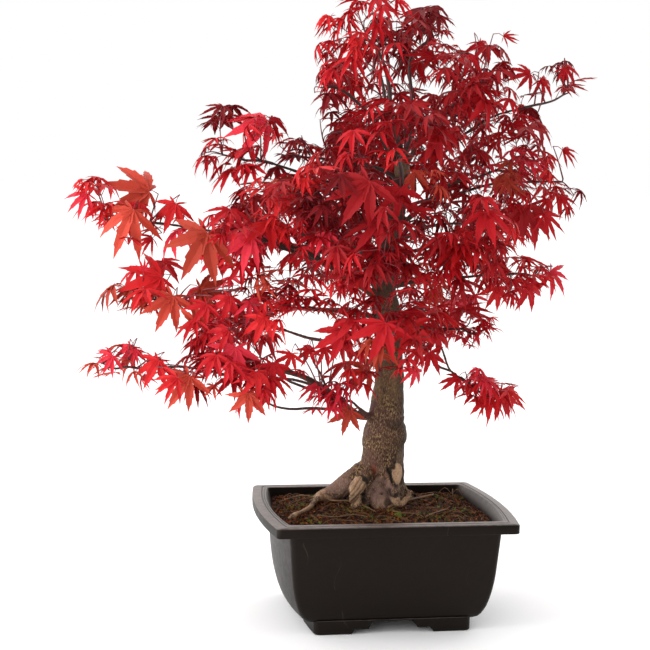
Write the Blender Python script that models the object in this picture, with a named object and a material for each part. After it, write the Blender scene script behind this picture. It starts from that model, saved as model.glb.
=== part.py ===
"""A Japanese maple bonsai in a shallow plastic training pot, as named solids in metres, +Z up.

The pot holds a filled block of soil, and the trunk stands on the soil with its roots spread over it.
Boughs leave the trunk and end where they enter a mass of foliage. Each mass is one solid: a stem that
meets its bough's tip, the twigs that branch from it, and the leaves fused to them.
"""

import math
import random

import bmesh
import bpy
from mathutils import Matrix, Vector
from mathutils.bvhtree import BVHTree

MM = 0.001
CLEAR = 0.3 * MM  # gap between pieces that touch
UP = Vector((0, 0, 1))

# ---- pot: outside sizes of the rim, and how far the parts below it are set in from the rim
POT_WIDE = 210 * MM
POT_DEEP = 165 * MM
POT_HIGH = 98 * MM
RIM_HIGH = 9 * MM
RIM_BROAD = 11 * MM
RIM_CORNER = 4 * MM
END_BOW = 7 * MM  # how far the short sides bulge in plan
WALL = 3 * MM
FOOT_HIGH = 11 * MM
BODY_TOP_INSET = (12.5 * MM, 9.5 * MM)  # at the ends, at the long sides
BODY_FOOT_INSET = (31 * MM, 20 * MM)
FOOT_INSET = (36 * MM, 17 * MM)
FOOT_GAP_LOW = 72 * MM  # the stepped arch between two feet, at the ground and above its step
FOOT_GAP_HIGH = 37 * MM
FOOT_STEP_HIGH = 4.5 * MM

# ---- soil
SOIL_LEVEL = 95 * MM  # the flat that the trunk stands on
SOIL_EDGE_DROP = 6 * MM
SOIL_FLAT_SHARE = 0.66  # of the way from the middle of the pot to its wall

# ---- trunk: rings of its middle line and radius, in millimetres, which a smooth curve runs through
TRUNK_SIDES = 13
TRUNK_STEPS = 2  # rings from each row to the next
TRUNK = (  # (height, x, y, radius)
    (86, 6, 27, 22),
    (108, 6, 25, 19.5),
    (134, 5.5, 23, 19.0),
    (163, 6, 20, 17.6),
    (188, 7, 18, 13.8),
    (222, 8, 15, 12.3),
    (258, 7, 14, 11.5),
    (296, 0, 13, 10.4),
    (338, 5, 15, 9.2),
    (378, 14, 16, 8.0),
    (414, 13, 14, 6.2),
)

# ---- roots: degrees from +X, reach from the trunk's middle line, radii at the trunk and the end, start height,
# in millimetres. Each runs down over the soil and is cut off flat at its surface.
ROOT_SIDES = 7
ROOT_STEPS = 4
ROOTS = {
    "left": (178, 56, 15, 6, 124),
    "left_front": (222, 34, 9, 6.5, 116),
    "front": (272, 21, 12, 9, 116),
    "front_right": (306, 28, 9, 7, 118),
    "right": (352, 33, 11, 6, 122),
    "back": (80, 34, 11, 6, 118),
    "back_left": (126, 38, 11, 5, 118),
}

# ---- boughs and the masses that they carry. Each row: what the bough leaves, where (a height on the trunk, or a
# share of the way along a bough), degrees from +X, reach and height of the mass's middle, its radius and
# half height, the bough's radius where it starts, and how far it arches up, as a share of its length. Lengths
# are in millimetres. A mass with no bough radius is on a stem of its own, straight from the trunk.
CROWN = {
    "left_bottom": ("trunk", 176, 197, 142, 233, 58, 48, 4.8, -0.05),
    "left_bottom_tip": ("left_bottom", 0.50, 188, 234, 226, 40, 36, 1.9, 0.10),
    "left_bottom_inner": ("left_bottom", 0.16, 212, 56, 200, 36, 36, 2.0, 0.12),
    "left_low": ("trunk", 262, 183, 203, 280, 56, 47, 3.0, 0.05),
    "left_mid": ("trunk", 280, 204, 140, 343, 54, 46, 4.4, 0.06),
    "left_tip": ("left_mid", 0.55, 186, 229, 352, 60, 47, 2.4, 0.10),
    "left_high": ("trunk", 350, 185, 130, 409, 54, 46, 3.2, 0.10),
    "left_high_inner": ("trunk", 384, 172, 62, 404, 50, 46, None, 0.20),
    "left_inner": ("trunk", 243, 222, 108, 284, 50, 44, 2.6, 0.08),
    "left_back": ("trunk", 310, 138, 115, 342, 60, 52, 3.4, 0.15),
    "left_back_low": ("trunk", 216, 143, 128, 253, 56, 46, 3.4, 0.12),
    "back_high": ("trunk", 365, 82, 92, 408, 58, 50, 2.8, 0.18),
    "back_mid": ("trunk", 268, 96, 108, 318, 54, 48, 3.0, 0.15),
    "back_low": ("trunk", 226, 62, 104, 262, 56, 46, 3.2, 0.12),
    "right_back": ("trunk", 328, 38, 134, 352, 60, 52, 3.4, 0.12),
    "right_low": ("trunk", 292, 353, 120, 308, 54, 47, 3.2, 0.10),
    "right_lower": ("trunk", 254, 338, 74, 258, 46, 40, 2.8, 0.12),
    "right_hanging": ("right_lower", 0.62, 345, 86, 196, 42, 36, 1.7, 0.30),
    "right_mid": ("trunk", 343, 345, 96, 404, 52, 46, 3.0, 0.12),
    "right_tip": ("trunk", 360, 4, 152, 392, 42, 42, 2.4, 0.10),
    "right_front": ("trunk", 316, 294, 100, 338, 52, 46, 2.8, 0.12),
    "front_mid": ("trunk", 303, 258, 122, 326, 52, 46, 2.8, 0.12),
    "front_low": ("trunk", 240, 264, 86, 258, 48, 42, None, 0.15),
    "front_left": ("trunk", 323, 232, 118, 364, 52, 46, 2.8, 0.15),
    "front_high": ("trunk", 380, 266, 88, 408, 54, 47, None, 0.20),
    "top_right": ("trunk", 392, 322, 68, 468, 50, 46, 2.6, 0.28),
    "top_right_tip": ("trunk", 384, 358, 144, 466, 46, 42, 2.2, 0.15),
    "top_right_back": ("trunk", 396, 40, 96, 452, 52, 46, 2.4, 0.22),
    "apex_left": ("trunk", 395, 190, 48, 464, 46, 46, None, 0.30),
    "apex_front": ("trunk", 412, 222, 32, 504, 46, 42, None, 0.28),
    "apex_right": ("trunk", 402, 14, 34, 507, 46, 42, None, 0.28),
    "apex_back": ("trunk", 398, 92, 56, 486, 50, 46, None, 0.28),
}
BOUGH_SIDES = 5
BOUGH_STEPS = 4
BOUGH_TAPER = 0.45
BOUGH_WAVE = 0.02  # how far a bough strays from its easy curve, as a share of its length
BOUGH_ENTERS = 0.50  # a bough ends this share of the mass's radius short of the mass's middle
STEM_THICK = 2.4 * MM  # where it leaves the trunk
STEM_SIDES = 4

# ---- foliage
LEAF_LONG = (29 * MM, 36 * MM)  # the middle lobe
LEAF_THICK = 1.0 * MM
STALK_LONG = (9 * MM, 15 * MM)
LEAF_LOBES = ((-96, 0.56), (-46, 0.88), (0, 1.0), (46, 0.88), (96, 0.56))  # degrees from the middle lobe, length
LEAF_NOTCHES = ((-70, 0.29), (-23, 0.35), (23, 0.35), (70, 0.29))
LEAF_HEEL = (140, 0.10)
LEAF_SAG = 0.24  # how far a lobe's tip hangs below the leaf's middle, as a share of its length
NOTCH_SAG = 0.05
TWIG_THICK = 1.1 * MM
SHORTEST_TWIG = 7 * MM
CELL_GAP = 0.4 * MM
GOLDEN_ANGLE = math.pi * (3 - math.sqrt(5))
SPRAY_AREA = 3.5e-3  # square metres of a mass's skin to each spray of leaves
FEWEST_SPRAYS = 9
SPRAY_REACHES = (0.56, 0.44, 0.66, 0.32, 0.22)  # shares of the way to the skin, tried in turn
LEAF_TRIES = 14  # poses tried before a leaf is left out

COLOURS = {  # colour, roughness
    "dark_plastic": ((0.016, 0.013, 0.012), 0.45),
    "soil": ((0.060, 0.028, 0.012), 0.95),
    "bark": ((0.16, 0.11, 0.08), 0.85),
    "red_leaf": ((0.44, 0.015, 0.028), 0.55),
}


# ---------------------------------------------------------------- objects and materials


def material(name):
    found = bpy.data.materials.get(name)
    if found:
        return found
    colour, roughness = COLOURS[name]
    made = bpy.data.materials.new(name)
    made.use_nodes = True
    shader = made.node_tree.nodes["Principled BSDF"]
    shader.inputs["Base Color"].default_value = (*colour, 1)
    shader.inputs["Roughness"].default_value = roughness
    made.diffuse_color = (*colour, 1)
    return made


def new_object(name, bm, finish, collection=None):
    bmesh.ops.recalc_face_normals(bm, faces=bm.faces)
    mesh = bpy.data.meshes.new(name)
    bm.to_mesh(mesh)
    bm.free()
    mesh.materials.append(material(finish))
    made = bpy.data.objects.new(name, mesh)
    (collection or bpy.context.scene.collection).objects.link(made)
    return made


def boolean(target, operation, other, solver="EXACT"):
    """Applies one Boolean to target. other is an object or a collection of objects, and is removed."""
    step = target.modifiers.new(operation.lower(), "BOOLEAN")
    step.operation = operation
    step.solver = solver
    if isinstance(other, bpy.types.Collection):
        step.operand_type = "COLLECTION"
        step.collection = other
        used = list(other.objects)
    else:
        step.object = other
        used = [other]
    bpy.context.view_layer.update()
    graph = bpy.context.evaluated_depsgraph_get()
    result = bpy.data.meshes.new_from_object(target.evaluated_get(graph))
    target.modifiers.clear()
    target.data = result
    for tool in used:
        bpy.data.objects.remove(tool)
    if isinstance(other, bpy.types.Collection):
        bpy.data.collections.remove(other)


# ---------------------------------------------------------------- limbs


def ring_frames(path, radii):
    """A matrix for each point of a limb that puts a unit circle square across it, without twist."""
    frames = []
    turn = None
    for i, point in enumerate(path):
        ahead = path[min(i + 1, len(path) - 1)] - path[max(i - 1, 0)]
        ahead.normalize()
        if turn is None:
            turn = ahead.to_track_quat("Z", "X")
        else:
            turn = before.rotation_difference(ahead) @ turn
        before = ahead
        frames.append(Matrix.Translation(point) @ turn.to_matrix().to_4x4() @ Matrix.Scale(radii[i], 4))
    return frames


def tube(path, radii, sides):
    """A tapering limb: a disc at the path's start, extruded from point to point."""
    bm = bmesh.new()
    frames = ring_frames(path, radii)
    bmesh.ops.create_circle(bm, cap_ends=True, radius=1, segments=sides, matrix=frames[0])
    end = bm.faces[:]
    for i, (here, there) in enumerate(zip(frames, frames[1:])):
        made = bmesh.ops.extrude_face_region(bm, geom=end)["geom"]
        if i:
            bmesh.ops.delete(bm, geom=end, context="FACES_ONLY")
        end = [g for g in made if isinstance(g, bmesh.types.BMFace)]
        corners = [g for g in made if isinstance(g, bmesh.types.BMVert)]
        bmesh.ops.transform(bm, matrix=there @ here.inverted(), verts=corners)
    return bm


def bezier(start, lift, ease, finish, count):
    points = []
    for i in range(count):
        t = i / (count - 1)
        s = 1 - t
        points.append(start * s**3 + lift * (3 * s * s * t) + ease * (3 * s * t * t) + finish * t**3)
    return points


def around(degrees, reach):
    """The level vector of that length, degrees round from +X."""
    angle = math.radians(degrees)
    return Vector((math.cos(angle), math.sin(angle), 0)) * reach


def between(rows, i, t):
    """A point on the smooth curve through rows, a share t of the way from row i to the next."""
    before, start, end, after = (rows[max(0, min(i + k, len(rows) - 1))] for k in (-1, 0, 1, 2))
    point = []
    for a, b, c, d in zip(before, start, end, after):
        point.append(b + t * ((c - a) / 2 + t * ((a - 2.5 * b + 2 * c - d / 2) + t * (1.5 * (b - c) + (d - a) / 2))))
    return point


def trunk_rows():
    rows = [between(TRUNK, i, k / TRUNK_STEPS) for i in range(len(TRUNK) - 1) for k in range(TRUNK_STEPS)]
    return rows + [TRUNK[-1]]


def trunk_ring(height):
    """The trunk's middle point and radius at a height in millimetres."""
    rows = trunk_rows()
    for low, high in zip(rows, rows[1:]):
        if height <= high[0]:
            break
    t = (height - low[0]) / (high[0] - low[0])
    z, x, y, radius = (a + (b - a) * t for a, b in zip(low, high))
    return Vector((x, y, z)) * MM, radius * MM


def trunk_tube(swell=0.0):
    rows = trunk_rows()
    path = [Vector((x, y, z)) * MM for z, x, y, _ in rows]
    return tube(path, [radius * MM + swell for *_, radius in rows], TRUNK_SIDES)


def root_path(row):
    degrees, reach, _, thin, start = row
    foot, _ = trunk_ring(TRUNK[0][0])
    top, _ = trunk_ring(start)
    end = Vector((foot.x, foot.y, SOIL_LEVEL + thin * 0.3 * MM)) + around(degrees, reach * MM)
    drop = UP * (top.z - end.z)
    shoulder = top + around(degrees, 0.40 * reach * MM) - drop * 0.10
    ankle = end - around(degrees, 0.34 * reach * MM) + drop * 0.18
    return bezier(top, shoulder, ankle, end, ROOT_STEPS + 1)


def make_trunk():
    trunk = new_object("trunk", trunk_tube(), "bark")
    roots = bpy.data.collections.new("roots")
    bpy.context.scene.collection.children.link(roots)
    for name, row in ROOTS.items():
        thick, thin = row[2] * MM, row[3] * MM
        radii = [thick + (thin - thick) * i / ROOT_STEPS for i in range(ROOT_STEPS + 1)]
        new_object("root_" + name, tube(root_path(row), radii, ROOT_SIDES), "bark", roots)
    boolean(trunk, "UNION", roots)
    bm = bmesh.new()
    bmesh.ops.create_cube(bm, size=1)
    bmesh.ops.scale(bm, vec=(POT_WIDE, POT_WIDE, SOIL_LEVEL), verts=bm.verts)
    bmesh.ops.translate(bm, vec=(0, 0, SOIL_LEVEL / 2 + CLEAR), verts=bm.verts)
    boolean(trunk, "DIFFERENCE", new_object("ground_cutter", bm, "bark"))
    smooth(trunk)


def smooth(made, degrees=40):
    made.data.shade_smooth()
    made.data.set_sharp_from_angle(angle=math.radians(degrees))


class Limb:
    """One bough, or a stem straight from the trunk: its path, its radii, and the mass of foliage that it carries."""

    def __init__(self, name, row, grown):
        parent, leaves_at, degrees, reach, height, radius, half, thick, arch = row
        self.name = name
        self.is_bough = thick is not None
        self.degrees = degrees
        self.spread = Vector((radius, radius, half)) * MM
        axis = trunk_ring(300)[0]
        self.middle = Vector((axis.x, axis.y, height * MM)) + around(degrees, reach * MM)
        start = trunk_ring(leaves_at)[0] if parent == "trunk" else grown[parent].at(leaves_at)
        towards = self.middle - start
        if self.is_bough:
            tip = self.middle - towards.normalized() * self.spread.x * BOUGH_ENTERS
            thick = thick * MM
            thin = max(thick * BOUGH_TAPER, 1.3 * MM)
        else:
            tip = self.middle
            thick, thin = STEM_THICK, TWIG_THICK
        span = (tip - start).length
        rise = UP * span * arch
        level = around(degrees, span * 0.30)
        self.path = bezier(start, start + level * 0.8 + rise, tip - level - rise * 0.2, tip, BOUGH_STEPS + 1)
        self.radii = [thick + (thin - thick) * (i / BOUGH_STEPS) ** 0.8 for i in range(BOUGH_STEPS + 1)]
        pick = random.Random("bough " + name)
        for i in range(1, BOUGH_STEPS):
            stray = Vector([pick.uniform(-1, 1) for _ in range(3)])
            self.path[i] += stray * span * BOUGH_WAVE

    def at(self, share):
        place = share * BOUGH_STEPS
        i = min(int(place), BOUGH_STEPS - 1)
        return self.path[i].lerp(self.path[i + 1], place - i)

    def body(self, swell=0.0):
        return tube(self.path, [r + swell for r in self.radii], BOUGH_SIDES if self.is_bough else STEM_SIDES)


def cut_clear(made, body):
    """Cuts the room of another limb, and the gap round it, out of an object."""
    boolean(made, "DIFFERENCE", new_object("cutter", body(swell=1.2 * CLEAR), "bark"))


def make_boughs():
    limbs = {}
    for name, row in CROWN.items():
        limb = limbs[name] = Limb(name, row, limbs)
        if not limb.is_bough:
            continue
        bough = new_object("bough_" + name, limb.body(), "bark")
        cut_clear(bough, trunk_tube)
        if row[0] != "trunk":
            cut_clear(bough, limbs[row[0]].body)
        smooth(bough)
    return list(limbs.values())


# ---------------------------------------------------------------- foliage


class Space:
    """The room of one mass: an ellipsoid, cut by flat planes half way to its neighbours."""

    def __init__(self, limb, limbs):
        self.middle = limb.middle
        self.spread = limb.spread
        self.planes = []
        for other in limbs:
            if other is limb:
                continue
            across = other.middle - self.middle
            length = across.length
            share = (length**2 + self.spread.x**2 - other.spread.x**2) / (2 * length)
            self.planes.append((across / length, share - CELL_GAP))

    def holds(self, point):
        out = point - self.middle
        if sum((a / b) ** 2 for a, b in zip(out, self.spread)) > 1:
            return False
        return all(out.dot(normal) <= limit for normal, limit in self.planes)


def add_leaf(bm, ring, centre, main, face, size):
    """A palmate leaf on a stalk from three corners: two fans over one outline, meeting at a knife edge.

    The corners go anticlockwise as seen from the leaf. The blade's faces are returned, without the stalk's.
    """
    side = main.cross(face).normalized()

    def edge_point(degrees, share, sag=0.0):
        angle = math.radians(degrees)
        flat = main * math.cos(angle) + side * math.sin(angle)
        return bm.verts.new(centre + flat * (size * share) - face * (size * share * sag))

    outline = [edge_point(-LEAF_HEEL[0], LEAF_HEEL[1])]
    for lobe, notch in zip(LEAF_LOBES, LEAF_NOTCHES):
        outline += [edge_point(*lobe, LEAF_SAG), edge_point(*notch, NOTCH_SAG)]
    outline += [edge_point(*LEAF_LOBES[-1], LEAF_SAG), edge_point(*LEAF_HEEL)]
    top = bm.verts.new(centre + face * LEAF_THICK / 2)
    bottom = bm.verts.new(centre - face * LEAF_THICK / 2)
    blade = []
    for a, b in zip(outline, outline[1:]):
        blade.append(bm.faces.new((top, a, b)))
        blade.append(bm.faces.new((bottom, b, a)))
    lowest = min(range(3), key=lambda i: ring[i].co.dot(face))
    keel, left, right = (ring[(lowest + i) % 3] for i in range(3))
    heel_left, heel_right = outline[0], outline[-1]
    bm.faces.new((top, left, heel_left))
    bm.faces.new((top, right, left))
    bm.faces.new((top, heel_right, right))
    bm.faces.new((bottom, heel_left, left))
    bm.faces.new((bottom, left, keel))
    bm.faces.new((bottom, keel, right))
    bm.faces.new((bottom, right, heel_right))
    return blade


class Shape:
    """What a leaf or a twig may not touch: its blade touches nothing, its stalk or twig only what carries it."""

    def __init__(self, bm, blade=()):
        self.all = BVHTree.FromBMesh(bm)
        corners = [corner.co.copy() for face in blade for corner in face.verts]
        self.blade = BVHTree.FromPolygons(corners, [(i, i + 1, i + 2) for i in range(0, len(corners), 3)])

    def touches(self, other):
        return bool(self.all.overlap(other.all))

    def blade_touches(self, other):
        return bool(self.all.overlap(other.blade) or self.blade.overlap(other.all))


class Spray:
    """A twig that opens at its end into three leaves. Its end is a three-sided point, and each side may hold one."""

    def __init__(self, path, radii):
        self.bm = tube(path, radii, 3)
        self.bm.verts.ensure_lookup_table()
        self.twig = Shape(self.bm)
        self.leaves = []
        self.ahead = (path[-1] - path[-2]).normalized()
        ring = self.bm.verts[-3:]
        cap = [f for f in self.bm.faces if set(f.verts) == set(ring)]
        bmesh.ops.delete(self.bm, geom=cap, context="FACES_ONLY")
        point = self.bm.verts.new(path[-1] + self.ahead * radii[-1] * 1.6)
        self.sides = []
        for i in range(3):
            corners = [ring[i], ring[(i + 1) % 3], point]
            middle = sum((c.co for c in corners), Vector()) / 3
            outward = (corners[1].co - corners[0].co).cross(corners[2].co - corners[0].co)
            if outward.dot(middle - path[-1]) < 0:
                corners.reverse()
            outward = middle - path[-1]
            outward -= self.ahead * outward.dot(self.ahead)
            self.sides.append((corners, middle, outward.normalized()))

    def trial(self, corners, pose):
        """The shape of a leaf on one side, to test before it is added."""
        bm = bmesh.new()
        ring = [bm.verts.new(c.co) for c in corners]
        blade = add_leaf(bm, ring, *pose)
        shape = Shape(bm, blade)
        points = [v.co.copy() for v in bm.verts]
        bm.free()
        return shape, points

    def add(self, corners, pose, shape):
        add_leaf(self.bm, corners, *pose)
        self.leaves.append(shape)

    def close(self, corners):
        self.bm.faces.new(corners)


class Mass:
    """Grows one mass of foliage from the end of its bough, and skips what would leave its space or touch a limb."""

    def __init__(self, limb, space, limb_trees):
        self.limb = limb
        self.space = space
        self.limb_trees = [tree for owner, tree in limb_trees.items() if limb.is_bough or owner != limb.name]
        self.random = random.Random("maple " + limb.name)
        self.meshes = []
        self.shapes = []  # of the stem, then of every twig and leaf
        self.joints = []  # (point, direction, radius, shape of its twig) where a twig may start

    def room(self, points, shape):
        """Whether a shape keeps to the mass's space and off the limbs."""
        return all(map(self.space.holds, points)) and not any(shape.all.overlap(tree) for tree in self.limb_trees)

    def add_stem(self):
        """The stem goes on from the bough's tip to just past the mass's middle, or comes straight from the trunk."""
        limb = self.limb
        heading = (limb.path[-1] - limb.path[-2]).normalized()
        beyond = self.space.middle + around(limb.degrees, self.space.spread.x * 0.10)
        if limb.is_bough:
            start = limb.path[-1] + heading * CLEAR
            span = (beyond - start).length
            points = bezier(start, start + heading * span * 0.35, beyond - UP * span * 0.08, beyond, 5)
            thick = limb.radii[-1]
            radii = [thick + (TWIG_THICK - thick) * i / 4 for i in range(5)]
            bm = tube(points, radii, 3)
        else:
            points = limb.path[2:]
            radii = limb.radii[2:]
            bm = limb.body()
        stem = Shape(bm)
        self.meshes.append(bm)
        self.shapes.append(stem)
        for a, b, radius in zip(points, points[1:], radii[1:]):
            self.joints.append((b, (b - a).normalized(), radius, stem))

    def nearest_joint(self, target):
        def cost(joint):
            point, heading, _, _ = joint
            away = target - point
            return away.length * (1.5 - 0.6 * heading.dot(away.normalized()))

        return min(self.joints, key=cost)

    def sprays(self):
        """The directions that sprays grow in: even over the skin of the mass."""
        a, _, c = self.space.spread
        skin = 4 * math.pi * (a * a + 2 * a * c) / 3
        count = max(FEWEST_SPRAYS, round(skin / SPRAY_AREA))
        turn = self.random.uniform(0, math.tau)
        for k in range(count):
            z = 1 - (k + 0.5) * 2 / count
            angle = turn + k * GOLDEN_ANGLE
            flat = math.sqrt(1 - z * z)
            yield Vector((flat * math.cos(angle), flat * math.sin(angle), z))

    def leaf_pose(self, start, ahead, outward, attempt):
        """Where a leaf's blade hangs: centre, main direction, face and size."""
        pick = self.random
        size = pick.uniform(*LEAF_LONG) * (1 - 0.02 * attempt)
        turn = math.radians(pick.uniform(25, 80))
        stalk = (ahead * math.cos(turn) + outward * math.sin(turn) + UP * pick.uniform(0.0, 0.5)).normalized()
        centre = start + stalk * pick.uniform(*STALK_LONG)
        out = Vector((stalk.x, stalk.y, 0))
        if out.length < 0.3:
            out = around(self.limb.degrees + pick.uniform(-90, 90), 1)
        out = Matrix.Rotation(math.radians(pick.uniform(-25, 25)), 3, "Z") @ out.normalized()
        droop = math.radians(pick.uniform(15, 62))
        main = out * math.cos(droop) - UP * math.sin(droop)
        roll = Matrix.Rotation(math.radians(pick.uniform(-24, 24)), 3, main)
        side = main.cross(roll @ UP).normalized()
        return centre, main, side.cross(main), size

    def add_leaf_to(self, spray, corners, middle, outward):
        for attempt in range(LEAF_TRIES):
            pose = self.leaf_pose(middle, spray.ahead, outward, attempt)
            shape, points = spray.trial(corners, pose)
            if not self.room(points, shape):
                continue
            if any(shape.touches(other) for other in self.shapes):
                continue
            if shape.blade.overlap(spray.twig.all) or any(shape.blade_touches(leaf) for leaf in spray.leaves):
                continue
            spray.add(corners, pose, shape)
            return
        spray.close(corners)

    def add_spray(self, direction):
        """One twig out towards the mass's skin, with up to three leaves at its end. Returns how many it has."""
        for reach in SPRAY_REACHES:
            end = self.space.middle + Vector([d * s * reach for d, s in zip(direction, self.space.spread)])
            if not self.space.holds(end):
                continue
            start, heading, radius, carrier = self.nearest_joint(end)
            span = (end - start).length
            if span < SHORTEST_TWIG:
                continue
            bend = start + heading * span * 0.35 + UP * span * 0.10
            path = bezier(start, bend, bend.lerp(end, 0.5), end, 3)
            radii = [min(radius * 0.8, TWIG_THICK * 1.2), TWIG_THICK * 1.1, TWIG_THICK]
            spray = Spray(path, radii)
            others = [shape for shape in self.shapes if shape is not carrier]
            if self.room(path[1:], spray.twig) and not any(spray.twig.touches(other) for other in others):
                for side in spray.sides:
                    self.add_leaf_to(spray, *side)
            if not spray.leaves:
                spray.bm.free()
                continue
            self.meshes.append(spray.bm)
            self.shapes += [spray.twig, *spray.leaves]
            self.joints.append((path[1], (path[1] - path[0]).normalized(), radii[1], spray.twig))
            return len(spray.leaves)
        return 0

    def join(self):
        """One solid: the stem, with the twigs and leaves united to it."""
        made = new_object("foliage_" + self.limb.name, self.meshes[0], "red_leaf")
        if not self.limb.is_bough:
            cut_clear(made, trunk_tube)
        rest = bpy.data.collections.new("rest")
        bpy.context.scene.collection.children.link(rest)
        for i, spray in enumerate(self.meshes[1:]):
            new_object(f"spray_{i}", spray, "red_leaf", rest)
        boolean(made, "UNION", rest, "MANIFOLD")


def make_foliage(limbs):
    swell = 1.3 * CLEAR
    trees = {"trunk": BVHTree.FromBMesh(trunk_tube(swell))}
    for limb in limbs:
        trees[limb.name] = BVHTree.FromBMesh(limb.body(swell))
    total = 0
    for limb in limbs:
        mass = Mass(limb, Space(limb, limbs), trees)
        if not mass.space.holds(limb.path[-1]):
            print("the bough ends outside its mass:", limb.name)
        mass.add_stem()
        leaves = sum(mass.add_spray(direction) for direction in mass.sprays())
        total += leaves
        mass.join()
        print(limb.name, leaves, end="; ")
    print("leaves in all", total)


# ---------------------------------------------------------------- pot and soil


def pot_outline(inset_x, inset_y, corner, bow):
    """One level of the pot in plan, anticlockwise from the front right: straight long sides and bowed ends."""
    half_x, half_y = POT_WIDE / 2 - inset_x, POT_DEEP / 2 - inset_y
    edge = half_y - corner
    end = []
    for i in range(5):
        y = -edge + 2 * edge * i / 4
        end.append((half_x + bow * (1 - (y / edge) ** 2), y))
    side = [(half_x - corner, half_y), (0, half_y), (-half_x + corner, half_y)]
    right_half = end + side
    return right_half + [(-x, -y) for x, y in right_half]


def add_ring(bm, outline, z):
    return [bm.verts.new((x, y, z)) for x, y in outline]


def bridge(bm, low, high):
    for i in range(len(low)):
        j = (i + 1) % len(low)
        bm.faces.new((low[i], low[j], high[j], high[i]))


def body_inset(z):
    """How far the pot's outer wall is set in from the rim's outline at a height: near upright, then curving under."""
    t = (POT_HIGH - RIM_HIGH - z) / (POT_HIGH - RIM_HIGH - FOOT_HIGH)
    share = 0.36 * t + 0.64 * (1 - math.sqrt(max(0.0, 1 - (max(0.0, t - 0.42) / 0.58) ** 2.2)))
    return [a + (b - a) * share for a, b in zip(BODY_TOP_INSET, BODY_FOOT_INSET)]


def wall_levels(count, low, high):
    """Heights from high to low, closer together where the wall curves."""
    return [high + (low - high) * (1 - (1 - i / (count - 1)) ** 1.6) for i in range(count)]


def make_pot():
    bm = bmesh.new()
    rings = []
    outside = wall_levels(9, FOOT_HIGH, POT_HIGH - RIM_HIGH)
    for z in reversed(outside):
        x, y = body_inset(z)
        rings.append((pot_outline(x, y, 5 * MM, END_BOW * 0.8), z))
    bevel = 0.8 * MM
    rim = ((0, -RIM_HIGH), (0, -bevel), (bevel, 0), (RIM_BROAD - bevel, 0), (RIM_BROAD, -bevel))
    for inset, below in rim:
        rings.append((pot_outline(inset, inset, RIM_CORNER, END_BOW), POT_HIGH + below))
    inner_floor = FOOT_HIGH + WALL
    for z in wall_levels(7, inner_floor, POT_HIGH - RIM_HIGH):
        x, y = body_inset(z - WALL * 0.4)
        rings.append((pot_outline(x + WALL, y + WALL, 4 * MM, END_BOW * 0.8), z))
    loops = [add_ring(bm, outline, z) for outline, z in rings]
    for low, high in zip(loops, loops[1:]):
        bridge(bm, low, high)
    bm.faces.new(reversed(loops[0]))
    bm.faces.new(loops[-1])
    pot = new_object("pot", bm, "dark_plastic")

    bm = bmesh.new()
    foot = pot_outline(*FOOT_INSET, 5 * MM, END_BOW * 0.5)
    sole = pot_outline(FOOT_INSET[0] + MM, FOOT_INSET[1] + MM, 5 * MM, END_BOW * 0.5)
    levels = [add_ring(bm, sole, 0), add_ring(bm, foot, MM), add_ring(bm, foot, FOOT_HIGH + MM)]
    for low, high in zip(levels, levels[1:]):
        bridge(bm, low, high)
    bm.faces.new(reversed(levels[0]))
    bm.faces.new(levels[-1])
    plinth = new_object("plinth", bm, "dark_plastic")
    boolean(plinth, "DIFFERENCE", arch_cutter(POT_DEEP, 0))
    boolean(plinth, "DIFFERENCE", arch_cutter(POT_WIDE, 90, 0.72))
    boolean(pot, "UNION", plinth)
    smooth(pot, 30)


def arch_cutter(length, degrees, narrow=1.0):
    """The stepped gap between two feet, as a bar that runs right across under the pot."""
    low, high = FOOT_GAP_LOW / 2 * narrow, FOOT_GAP_HIGH / 2 * narrow
    slope = 3 * MM
    half_profile = [
        (low, -FOOT_STEP_HIGH),
        (low, MM),
        (low - slope, FOOT_STEP_HIGH),
        (high + slope, FOOT_STEP_HIGH),
        (high, FOOT_HIGH),
    ]
    profile = half_profile + [(-x, z) for x, z in reversed(half_profile)]
    bm = bmesh.new()
    near = [bm.verts.new((x, -length, z)) for x, z in profile]
    face = bm.faces.new(near)
    made = bmesh.ops.extrude_face_region(bm, geom=[face])["geom"]
    far = [g for g in made if isinstance(g, bmesh.types.BMVert)]
    bmesh.ops.translate(bm, vec=(0, 2 * length, 0), verts=far)
    bmesh.ops.rotate(bm, matrix=Matrix.Rotation(math.radians(degrees), 3, "Z"), verts=bm.verts)
    return new_object("arch_cutter", bm, "dark_plastic")


def make_soil():
    bm = bmesh.new()
    rings = []
    floor = FOOT_HIGH + WALL + CLEAR
    edge = SOIL_LEVEL - SOIL_EDGE_DROP
    gap = 1.6 * CLEAR
    for z in reversed(wall_levels(7, floor, edge)):
        x, y = body_inset(z - WALL * 0.4)
        rings.append((pot_outline(x + WALL + gap, y + WALL + gap, 4 * MM, END_BOW * 0.8), z))
    outer = rings[-1][0]
    for share, drop in ((0.94, 0.55), (0.82, 0.2), (SOIL_FLAT_SHARE, 0)):
        rings.append(([(x * share, y * share) for x, y in outer], SOIL_LEVEL - SOIL_EDGE_DROP * drop))
    loops = [add_ring(bm, outline, z) for outline, z in rings]
    for low, high in zip(loops, loops[1:]):
        bridge(bm, low, high)
    bm.faces.new(reversed(loops[0]))
    bm.faces.new(loops[-1])
    smooth(new_object("soil", bm, "soil"), 30)


def centre_over_origin():
    """Moves every mesh so that the origin is under the middle of the whole plant."""
    bpy.context.view_layer.update()
    meshes = [o for o in bpy.context.scene.objects if o.type == "MESH"]
    points = [v.co for o in meshes for v in o.data.vertices]
    middle_x = (min(p.x for p in points) + max(p.x for p in points)) / 2
    middle_y = (min(p.y for p in points) + max(p.y for p in points)) / 2
    for o in meshes:
        o.data.transform(Matrix.Translation((-middle_x, -middle_y, 0)))
    print("shift in mm", round(-middle_x / MM, 2), round(-middle_y / MM, 2))


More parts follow.
